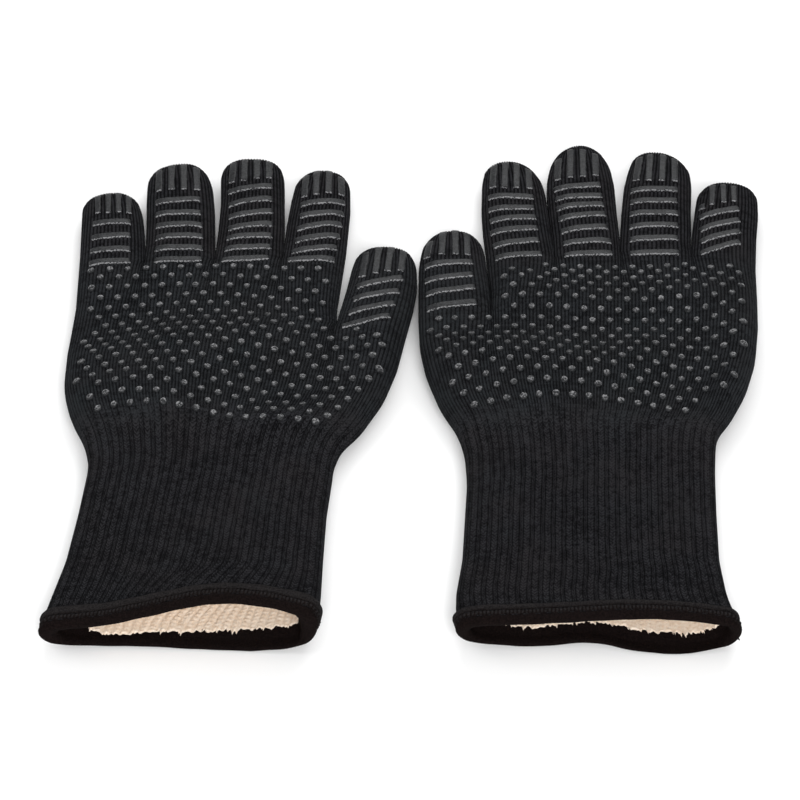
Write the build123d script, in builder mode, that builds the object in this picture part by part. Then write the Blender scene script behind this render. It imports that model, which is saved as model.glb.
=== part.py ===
from build123d import *
import math
import os

# A pair of five-finger heat resistant gloves lying palm side up, side by side,
# fingers towards +Y, cuff mouths towards -Y. Each glove is a knitted outer
# shell over a cotton lining, with a bound cuff mouth and a raised silicone
# grip pattern on the palm side. Millimetres, +Z up, back of the hand on Z = 0.

# ---------------------------------------------------------------- dimensions
HAND_T = 15.0        # thickness of a hand or finger, lining and air inside
SHELL = 2.5          # knitted shell wall
LINING = 2.0         # cotton lining wall
EDGE_R = 6.0         # rounding of the hand's outer edges
JOINT_GAP = 0.6      # clear gap at each fold line
DOT_D = 3.7          # silicone dot
DOT_H = 0.9
DOT_PITCH = 8.2      # along a row
ROW_PITCH = 7.0      # between rows, every other row shifted half a pitch
BAR_W = 3.6          # silicone bar
BAR_H = 0.9
BINDING_R = 1.0      # rolled edge of the binding
BINDING_L = 3.5      # binding tape beyond the shell's raw edge
MOUTH_Y = -155.0     # raw edge of the cuffs before the binding
WRIST_Y = -56.0      # fold line between hand and cuff
CENTRE = (10.55, 11.1)  # middle of the pair in the layout the outlines use

os.makedirs("parts", exist_ok=True)


def at(x, y):
    """A layout point in the pair's own frame, whose origin is the middle."""
    return (x - CENTRE[0], y - CENTRE[1])


def smooth_radii(points, closed=False, cap=70.0, share=0.46):
    """A radius for each corner of a polyline that its two runs have room for."""
    count = len(points)
    corners = range(count) if closed else range(1, count - 1)
    radii = []
    for i in corners:
        ax, ay = points[i - 1]
        bx, by = points[i]
        cx, cy = points[(i + 1) % count]
        run = min(math.hypot(bx - ax, by - ay), math.hypot(cx - bx, cy - by))
        turn = abs(
            (math.atan2(cy - by, cx - bx) - math.atan2(by - ay, bx - ax) + math.pi)
            % (2 * math.pi)
            - math.pi
        )
        radii.append(min(cap, share * run / math.tan(turn / 2)))
    return radii


# ------------------------------------------------------------ the two gloves
# "hand": outline from the cuff side, up the left side, round the fingers and
# back down the right side. "cuff": y, x left, x right, height, corner heights.
# "digits": lean from +Y in degrees, the root fold line's middle, the middle
# fold line's middle, tip bars (x, y) and cross bars (x, y) from root to tip.
GLOVES = {
    "right": {
        "hand": [
            (-142.6, -72), (-142.7, -52), (-145.6, -38), (-153.4, -22),
            (-158.7, -3), (-159.2, 22), (-158.0, 55), (-159.3, 92),
            (-161.0, 120), (-161.6, 131), (-158.6, 137.5), (-151, 141.5),
            (-141.5, 141.6), (-134.5, 136.5), (-131, 126), (-129.2, 113),
            (-128.1, 100), (-127.9, 87.5), (-126.9, 87.5), (-127.1, 100),
            (-127.8, 115), (-129.2, 135), (-129.8, 152), (-126.5, 160.5),
            (-117, 165.8), (-107, 165.6), (-100.5, 159.5), (-96.5, 148),
            (-94.6, 130), (-93.6, 112), (-93.0, 98), (-93.0, 89),
            (-92.0, 89), (-91.9, 98), (-91.4, 112), (-91.2, 135),
            (-92.4, 156), (-90.3, 164.6), (-83, 169.2), (-70, 169.1),
            (-62.5, 164.5), (-59.7, 154), (-59.2, 135), (-58.6, 115),
            (-58.8, 102), (-59.2, 91), (-58.2, 91), (-57.8, 102),
            (-57.0, 116), (-55.4, 135), (-53.4, 150.5), (-48, 158.3),
            (-39, 160.8), (-29.5, 156.8), (-25.8, 148), (-25.6, 130),
            (-27.5, 97), (-30.1, 68), (-31.5, 53), (-31.4, 42),
            (-30.4, 42), (-28.7, 54), (-26, 68), (-23.6, 84),
            (-21.2, 93.5), (-14, 99.3), (-3, 99.8), (4.5, 96.0),
            (8.0, 86), (8.3, 72), (6, 55), (1.8, 33), (-2, 12),
            (-8, -8), (-18.5, -29), (-27.5, -40), (-31, -52), (-32.2, -72),
        ],
        "cuff": [
            (-56.3, -142.7, -31.5, 15.0, 7.5, 6.0),
            (-85.0, -144.4, -33.6, 16.5, 7.5, 9.0),
            (-115.0, -147.2, -34.5, 19.5, 7.5, 15.0),
            (-138.0, -151.6, -34.9, 23.5, 7.8, 22.0),
            (-155.0, -154.6, -35.8, 26.0, 8.0, 28.0),
        ],
        "digits": {
            "little": {"lean": -3.3, "root": (-143.9, 98.0), "mid": None,
                "bar": 19.4,
                "bars": [(-143.7, 83.7), (-144.0, 92.9), (-144.4, 103.1), (-144.9, 113.2)],
                "hand_bars": 2, "tip": (-145.2, 124.5), "tip_pitch": 5.1, "tip_l": 8.0},
            "ring": {"lean": -2.2, "root": (-110.7, 98.2), "mid": (-111.6, 126.1),
                "bar": 23.0,
                "bars": [(-110.2, 84.9), (-110.3, 93.6), (-110.6, 102.8), (-111.0, 111.9), (-111.9, 121.2), (-112.7, 131.2)],
                "hand_bars": 2, "tip": (-113.2, 146.0), "tip_pitch": 6.3, "tip_l": 12.0},
            "middle": {"lean": 0.0, "root": (-75.7, 98.9), "mid": (-75.7, 125.7),
                "bar": 22.8,
                "bars": [(-76.4, 85.6), (-75.9, 94.5), (-75.4, 103.3), (-75.3, 111.9), (-75.6, 120.7), (-76.1, 130.7), (-76.6, 140.4)],
                "hand_bars": 2, "tip": (-76.6, 152.4), "tip_pitch": 6.2, "tip_l": 9.5},
            "index": {"lean": 3.1, "root": (-42.6, 97.9), "mid": (-40.9, 125.2),
                "bar": 22.5,
                "bars": [(-44.4, 85.6), (-42.9, 93.5), (-41.8, 102.2), (-41.0, 111.2), (-40.2, 120.5), (-39.7, 129.8)],
                "hand_bars": 2, "tip": (-39.6, 143.0), "tip_pitch": 6.1, "tip_l": 11.5},
            "thumb": {"lean": 8.5, "root": (-11.9, 53.1), "mid": None,
                "bar": 23.2,
                "bars": [(-16.5, 37.5), (-13.9, 48.1), (-11.7, 58.3), (-9.9, 68.1)],
                "hand_bars": 2, "tip": (-8.0, 82.0), "tip_pitch": 6.3, "tip_l": 12.0},
        },
        "between": {
            ("little", "ring"): [(-127.4, 70), (-127.4, 87), (-127.6, 100), (-128.5, 114), (-130.6, 135), (-132, 200)],
            ("ring", "middle"): [(-92.5, 70), (-92.5, 89), (-92.45, 98), (-92.5, 112), (-92.9, 135), (-94, 200)],
            ("middle", "index"): [(-58.7, 70), (-58.7, 91), (-58.3, 102), (-57.8, 115), (-57.3, 135), (-57, 200)],
            ("index", "thumb"): [(-30.9, 30), (-30.9, 42), (-30.1, 53), (-28.05, 68), (-26, 84), (-24.2, 97), (-22, 200)],
        },
        "order": ["little", "ring", "middle", "index", "thumb"],
        "dots": [
            (-154, 80), (-33, 80), (-35, 36), (-29, 27), (-5, 33), (-7, 8),
            (-16, -12), (-27, -24), (-147, -24), (-154, -4),
        ],
    },
    "left": {
        "hand": [
            (31.0, -72), (31.0, -58), (30.5, -44), (27.5, -30.5), (19.5, -14),
            (13, 8), (10.1, 27), (9.5, 45), (9.4, 66), (9.6, 86),
            (11.8, 101), (17.5, 109.5), (26, 112.3), (35, 110.2),
            (40.2, 103.5), (42.2, 95), (43.0, 80), (43.9, 62), (43.9, 50.5),
            (44.9, 50.5), (45.0, 62), (44.1, 80), (43.4, 97), (42.3, 112),
            (41.8, 128), (42.4, 150), (44.5, 161.5), (51, 167.2),
            (60, 167.2), (67.5, 162.2), (72.4, 153), (74.4, 142),
            (75.1, 125), (76.1, 105), (76.6, 91.8), (77.6, 91.8),
            (77.1, 105), (76.1, 125), (75.5, 142), (75.9, 152),
            (78.3, 165), (83, 175), (90.5, 180.7), (98, 180.3),
            (104.5, 174.8), (108.7, 163.5), (110.0, 148), (109.9, 125),
            (110.2, 109), (109.5, 95.5), (110.5, 95.5), (111.2, 109),
            (113.0, 128), (115.3, 147), (118.4, 161), (121.7, 170.8),
            (128, 175), (137, 174.6), (145, 169), (149.7, 160),
            (149.7, 148), (147.7, 128), (146.4, 110), (145.4, 100),
            (144.8, 91.5), (145.8, 91.5), (146.4, 100), (147.7, 112),
            (150.2, 128), (152.5, 141), (158, 148.2), (165, 150.5),
            (173, 149.8), (180, 145.4), (182.7, 138.5), (181.6, 124),
            (178.8, 106), (176.2, 84), (174.8, 62), (173.0, 40),
            (169.5, 17), (163, -4), (154.2, -22), (147.2, -32),
            (145.2, -44), (143.8, -58), (142.9, -72),
        ],
        "cuff": [
            (-56.3, 31.1, 144.0, 15.0, 7.5, 6.0),
            (-85.0, 29.8, 142.0, 15.6, 7.3, 8.0),
            (-115.0, 28.0, 140.6, 17.0, 7.0, 12.0),
            (-138.0, 24.7, 142.0, 19.0, 7.0, 18.0),
            (-155.0, 24.9, 146.0, 20.5, 7.0, 22.0),
        ],
        "digits": {
            "thumb": {"lean": -1.0, "root": (26.4, 66.4), "mid": None,
                "bar": 23.6,
                "bars": [(25.2, 49.9), (24.7, 60.9), (24.2, 71.8), (24.1, 82.6)],
                "hand_bars": 2, "tip": (23.9, 95.4), "tip_pitch": 6.6, "tip_l": 11.0},
            "index": {"lean": -2.2, "root": (59.6, 103.5), "mid": (58.6, 129.9),
                "bar": 22.9,
                "bars": [(58.9, 88.8), (58.1, 98.7), (57.4, 108.3), (57.0, 117.2), (56.6, 125.3), (56.6, 134.5)],
                "hand_bars": 2, "tip": (56.6, 148.0), "tip_pitch": 6.2, "tip_l": 12.5},
            "middle": {"lean": -0.9, "root": (93.3, 104.3), "mid": (92.9, 130.6),
                "bar": 23.7,
                "bars": [(93.7, 89.5), (93.5, 99.3), (92.6, 109.4), (92.0, 119.0), (91.4, 126.6), (91.1, 134.7), (90.7, 142.6)],
                "hand_bars": 2, "tip": (90.7, 157.5), "tip_pitch": 6.4, "tip_l": 14.5},
            "ring": {"lean": 5.2, "root": (128.6, 106.5), "mid": (131.0, 135.2),
                "bar": 24.0,
                "bars": [(126.5, 90.4), (127.1, 101.6), (127.7, 111.5), (128.4, 121.2), (128.9, 130.5), (129.9, 140.0)],
                "hand_bars": 2, "tip": (131.5, 154.0), "tip_pitch": 6.5, "tip_l": 13.0},
            "little": {"lean": 7.0, "root": (163.3, 108.1), "mid": None,
                "bar": 20.8,
                "bars": [(159.5, 94.2), (160.5, 103.4), (161.4, 112.8), (162.2, 121.9)],
                "hand_bars": 2, "tip": (162.6, 134.0), "tip_pitch": 5.5, "tip_l": 8.5},
        },
        "between": {
            ("thumb", "index"): [(44.4, 40), (44.4, 50.5), (44.45, 62), (43.55, 80), (42.8, 96), (41.6, 112), (41, 200)],
            ("index", "middle"): [(77.1, 80), (77.1, 91.8), (76.6, 105), (75.6, 125), (74.95, 142), (74.6, 155), (74.6, 200)],
            ("middle", "ring"): [(110, 80), (110, 95.5), (110.7, 109), (111.6, 128), (112.6, 147), (114, 200)],
            ("ring", "little"): [(145.3, 80), (145.3, 91.5), (145.9, 100), (147.05, 112), (149, 128), (150.9, 145), (151.6, 165), (152, 200)],
        },
        "order": ["thumb", "index", "middle", "ring", "little"],
        "dots": [
            (47, 84), (171, 88), (170, 50), (165, 20), (158, 0), (147, -17),
            (34, -17), (24, 2), (17, 26), (16, 44), (42, 44),
        ],
    },
}


def inset_path(points, radii, inset):
    """The same path moved inwards: each run shifts to its right, outside
    corners lose the inset from their radius and inside corners gain it."""
    if not inset:
        return points, radii
    runs = []
    for (ax, ay), (bx, by) in zip(points, points[1:]):
        long = math.hypot(bx - ax, by - ay)
        ux, uy = (bx - ax) / long, (by - ay) / long
        runs.append((ax + uy * inset, ay - ux * inset, ux, uy))
    moved = [(runs[0][0], runs[0][1])]
    changed = []
    for (px, py, ux, uy), (qx, qy, vx, vy), r in zip(runs, runs[1:], radii):
        cross = ux * vy - uy * vx
        t = ((qx - px) * vy - (qy - py) * vx) / cross
        moved.append((px + ux * t, py + uy * t))
        changed.append(max(0.4, r - inset) if cross < 0 else r + inset)
    ax, ay = points[-1]
    ux, uy = runs[-1][2:]
    moved.append((ax + uy * inset, ay - ux * inset))
    return moved, changed


def hand_solid(glove, inset):
    """The hand with its five digits as one closed pillow, shrunk by inset."""
    points = [at(x, y) for x, y in glove["hand"]]
    points, radii = inset_path(points, smooth_radii(points), inset)
    with BuildPart() as pillow:
        with BuildSketch(Plane.XY.offset(inset)):
            with BuildLine():
                side = FilletPolyline(*points, radius=radii)
                Line(side @ 1, side @ 0)
            make_face()
        extrude(amount=HAND_T - 2 * inset)
        rim = [
            e
            for e in pillow.edges()
            if e.bounding_box().max.Z - e.bounding_box().min.Z < 1e-6
            and e.bounding_box().max.Y > -72 - CENTRE[1] + 1.0
        ]
        fillet(rim, EDGE_R - inset)
    return pillow.part


def cuff_plane(y):
    """An upright plane across the cuff that faces the mouth."""
    return Plane((0, y - CENTRE[1], 0), x_dir=(1, 0, 0), z_dir=(0, -1, 0))


def cuff_section(station, inset):
    """An almond: flat underneath, low at both side folds, raised on top."""
    _, left, right, high, side_z, slope = station
    x0, x1 = left - CENTRE[0] + inset, right - CENTRE[0] - inset
    foot = 2.5 + 0.2 * slope
    shape = [
        (x0 + foot, inset), (x1 - foot, inset), (x1, side_z),
        (x1 - slope, high - inset), (x0 + slope, high - inset), (x0, side_z),
    ]
    return shape, smooth_radii(shape, closed=True, cap=30.0, share=0.42)


def cuff_solid(glove, inset, reach):
    """The cuff, lofted from the wrist section to the raised mouth, with both
    ends drawn out by reach."""
    stations = glove["cuff"]
    with BuildPart() as sleeve:
        for i, station in enumerate(stations):
            y = station[0]
            if i == 0:
                y += reach
            if i == len(stations) - 1:
                y -= reach
            shape, radii = cuff_section(station, inset)
            with BuildSketch(cuff_plane(y)):
                with BuildLine():
                    FilletPolyline(*shape, radius=radii, close=True)
                make_face()
        loft()
    return sleeve.part


def beyond_fold(fold, lean, back, lane):
    """A tall block that starts on a digit's fold line, moved along the digit
    by back, and keeps to the digit's own lane between its neighbours."""
    c, s = math.cos(math.radians(lean)), math.sin(math.radians(lean))
    plane = Plane(origin=(*at(*fold), -20), x_dir=(c, -s, 0), z_dir=(0, 0, 1))
    with BuildPart() as block:
        with BuildSketch(plane):
            with BuildLine():
                Polyline((-60, back), (60, back), (60, 130), (-60, 130), close=True)
            make_face()
        extrude(amount=80)
        with BuildSketch(Plane.XY.offset(-20)):
            with BuildLine():
                Polyline(*lane, close=True)
            make_face()
        extrude(amount=80, mode=Mode.INTERSECT)
    return block.part


def inside(point, polygon):
    x, y = point
    hit = False
    for (ax, ay), (bx, by) in zip(polygon, polygon[1:] + polygon[:1]):
        if (ay > y) != (by > y) and x < (bx - ax) * (y - ay) / (by - ay) + ax:
            hit = not hit
    return hit


def edge_distance(point, polygon):
    x, y = point
    best = 1e9
    for (ax, ay), (bx, by) in zip(polygon, polygon[1:] + polygon[:1]):
        dx, dy = bx - ax, by - ay
        t = max(0, min(1, ((x - ax) * dx + (y - ay) * dy) / (dx * dx + dy * dy)))
        best = min(best, math.hypot(x - ax - t * dx, y - ay - t * dy))
    return best


def save(piece, name):
    piece.label = name
    export_step(piece, f"parts/{name}.step")
    print(name, len(piece.solids()), round(piece.volume))


GAP = JOINT_GAP / 2

for side, glove in GLOVES.items():
    outer = hand_solid(glove, 0.0)
    middle = hand_solid(glove, SHELL)
    inner = hand_solid(glove, SHELL + LINING)
    digits = glove["digits"]

    # The lane of each digit runs up the middle of the slots on its two sides.
    lanes = {}
    order = glove["order"]
    first, last = glove["hand"][0], glove["hand"][-1]
    for i, d in enumerate(order):
        left_line = (
            glove["between"][(order[i - 1], d)] if i else [(first[0] - 40, 20), (first[0] - 40, 200)]
        )
        right_line = (
            glove["between"][(d, order[i + 1])]
            if i < len(order) - 1
            else [(last[0] + 60, 20), (last[0] + 60, 200)]
        )
        lanes[d] = [at(*p) for p in left_line + right_line[::-1]]

    # Blocks that hold each digit from its root fold line on, and the same with
    # the gap on the hand's side of the line.
    from_root = {d: beyond_fold(v["root"], v["lean"], GAP, lanes[d]) for d, v in digits.items()}
    from_root_wide = {d: beyond_fold(v["root"], v["lean"], -GAP, lanes[d]) for d, v in digits.items()}
    with BuildPart() as hand_side:
        with BuildSketch(Plane.XY.offset(-20)):
            with BuildLine():
                x0, y0 = at(-200, WRIST_Y + GAP)
                x1, y1 = at(220, 230)
                Polyline((x0, y0), (x1, y0), (x1, y1), (x0, y1), close=True)
            make_face()
        extrude(amount=80)

    # ------------------------------------------------------------------ hand
    with BuildPart() as hand_shell:
        add(outer)
        add(middle, mode=Mode.SUBTRACT)
        add(hand_side.part, mode=Mode.INTERSECT)
        for block in from_root_wide.values():
            add(block, mode=Mode.SUBTRACT)
    save(hand_shell.part, f"{side}_hand_shell")

    with BuildPart() as hand_lining:
        add(middle)
        add(inner, mode=Mode.SUBTRACT)
        add(hand_side.part, mode=Mode.INTERSECT)
        for block in from_root_wide.values():
            add(block, mode=Mode.SUBTRACT)
    save(hand_lining.part, f"{side}_hand_lining")

    # ---------------------------------------------------------------- digits
    for digit, v in digits.items():
        spans = [(f"{side}_{digit}", from_root[digit], None)]
        if v["mid"]:
            beyond = beyond_fold(v["mid"], v["lean"], GAP, lanes[digit])
            beyond_wide = beyond_fold(v["mid"], v["lean"], -GAP, lanes[digit])
            spans = [
                (f"{side}_{digit}_base", from_root[digit], beyond_wide),
                (f"{side}_{digit}_tip", beyond, None),
            ]
        for name, block, cut in spans:
            with BuildPart() as digit_shell:
                add(outer)
                add(middle, mode=Mode.SUBTRACT)
                add(block, mode=Mode.INTERSECT)
                if cut:
                    add(cut, mode=Mode.SUBTRACT)
            save(digit_shell.part, f"{name}_shell")
            with BuildPart() as digit_lining:
                add(middle)
                add(inner, mode=Mode.SUBTRACT)
                add(block, mode=Mode.INTERSECT)
                if cut:
                    add(cut, mode=Mode.SUBTRACT)
            save(digit_lining.part, f"{name}_lining")

    # ------------------------------------------------- silicone grip pattern
    top = Plane.XY.offset(HAND_T)
    grips = {f"{side}_hand_grip": []}
    tips = {}
    for digit, v in digits.items():
        own = f"{side}_{digit}_base_grip" if v["mid"] else f"{side}_{digit}_grip"
        far = f"{side}_{digit}_tip_grip" if v["mid"] else own
        grips.setdefault(own, [])
        grips.setdefault(far, [])
        for i, (x, y) in enumerate(v["bars"]):
            home = own
            if i < v["hand_bars"]:
                home = f"{side}_hand_grip"
            elif v["mid"]:
                # The distance past the middle fold line, along the digit.
                c, s = math.cos(math.radians(v["lean"])), math.sin(math.radians(v["lean"]))
                if (x - v["mid"][0]) * s + (y - v["mid"][1]) * c > 0:
                    home = far
            grips[home].append((at(x, y), v["lean"], v["bar"]))
        tips[far] = v
    hand_outline = [at(x, y) for x, y in glove["hand"]]
    field = [at(x, y) for x, y in glove["dots"]]
    xs, ys = [p[0] for p in field], [p[1] for p in field]
    dots = []
    row, y = 0, max(ys) - 1.5
    while y > min(ys):
        x = min(xs) + (DOT_PITCH / 2 if row % 2 else 0) + 1.0
        while x < max(xs):
            if inside((x, y), field) and edge_distance((x, y), hand_outline) > EDGE_R + DOT_D / 2:
                clear = all(
                    abs((x - bx) * math.cos(math.radians(lean)) - (y - by) * math.sin(math.radians(lean))) > length / 2 + 2.5
                    or abs((x - bx) * math.sin(math.radians(lean)) + (y - by) * math.cos(math.radians(lean))) > BAR_W / 2 + DOT_D / 2 + 0.8
                    for (bx, by), lean, length in grips[f"{side}_hand_grip"]
                )
                if clear:
                    dots.append((x, y))
            x += DOT_PITCH
        row += 1
        y -= ROW_PITCH
    for name, bars in grips.items():
        with BuildPart() as grip:
            with BuildSketch(top):
                for (x, y), lean, length in bars:
                    with Locations(Location((x, y, 0), (0, 0, -lean))):
                        SlotOverall(length, BAR_W)
                if name in tips:
                    v = tips[name]
                    x, y = at(*v["tip"])
                    with Locations(Location((x, y, 0), (0, 0, -v["lean"]))):
                        with GridLocations(v["tip_pitch"], 1, 4, 1):
                            SlotOverall(v["tip_l"], 3.3, rotation=90)
                if name.endswith("hand_grip"):
                    with Locations(*dots):
                        Circle(DOT_D / 2)
            extrude(amount=DOT_H)
            fillet(grip.faces().filter_by(Axis.Z).group_by(Axis.Z)[-1].edges(), 0.45)
        save(grip.part, name)

    # ------------------------------------------------------------------ cuff
    cuff_out = cuff_solid(glove, 0.0, 0.0)
    cuff_mid = cuff_solid(glove, SHELL, 2.0)
    cuff_in = cuff_solid(glove, SHELL + LINING, 4.0)
    with BuildPart() as cuff_shell:
        add(cuff_out)
        add(cuff_mid, mode=Mode.SUBTRACT)
    save(cuff_shell.part, f"{side}_cuff_shell")
    with BuildPart() as cuff_lining:
        with BuildSketch(Plane.XZ.offset(-(WRIST_Y - GAP - CENTRE[1]))):
            Rectangle(600, 200)
        extrude(amount=WRIST_Y - GAP - MOUTH_Y)
        add(cuff_mid, mode=Mode.INTERSECT)
        add(cuff_in, mode=Mode.SUBTRACT)
    save(cuff_lining.part, f"{side}_cuff_lining")

    # The binding rolls over the raw edges of shell and lining.
    with BuildPart() as binding:
        for inset, mode in ((0.0, Mode.ADD), (SHELL + LINING, Mode.SUBTRACT)):
            shape, radii = cuff_section(glove["cuff"][-1], inset)
            with BuildSketch(cuff_plane(MOUTH_Y)):
                with BuildLine():
                    FilletPolyline(*shape, radius=radii, close=True)
                make_face()
            extrude(amount=BINDING_L, mode=mode)
        fillet(binding.faces().sort_by(Axis.Y)[0].edges(), BINDING_R)
    save(binding.part, f"{side}_cuff_binding")
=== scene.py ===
import math
import bpy
import numpy as np
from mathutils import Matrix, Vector


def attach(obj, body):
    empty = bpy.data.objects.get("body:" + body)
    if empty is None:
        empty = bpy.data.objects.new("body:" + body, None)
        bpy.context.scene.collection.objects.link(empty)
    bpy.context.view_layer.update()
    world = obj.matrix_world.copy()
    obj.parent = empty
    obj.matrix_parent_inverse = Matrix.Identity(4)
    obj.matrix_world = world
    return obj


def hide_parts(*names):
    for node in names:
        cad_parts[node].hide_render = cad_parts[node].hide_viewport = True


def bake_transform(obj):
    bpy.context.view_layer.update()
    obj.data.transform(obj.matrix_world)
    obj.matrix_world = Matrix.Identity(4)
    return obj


# A pair of knitted heat resistant gloves with a silicone grip print, palm side
# up. Lengths in this script are millimetres in the layout that the outlines
# use; they turn into the row frame's metres where the meshes are made.

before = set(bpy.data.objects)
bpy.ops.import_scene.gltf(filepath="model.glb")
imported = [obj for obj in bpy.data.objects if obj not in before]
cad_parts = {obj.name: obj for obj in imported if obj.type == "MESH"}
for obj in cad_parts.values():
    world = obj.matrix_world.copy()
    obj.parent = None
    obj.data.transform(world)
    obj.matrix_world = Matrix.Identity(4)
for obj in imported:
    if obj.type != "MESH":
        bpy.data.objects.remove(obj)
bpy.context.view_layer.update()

CENTRE = np.array([10.55, 11.1])
WALE = 4            # mesh columns per knitted wale
COURSE = 1.8       # length of one stitch along a wale
DIGIT_WALES = 20    # wales on the palm side of one digit
MOUTH_Y = -155.0
rng = np.random.default_rng(11)

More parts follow.
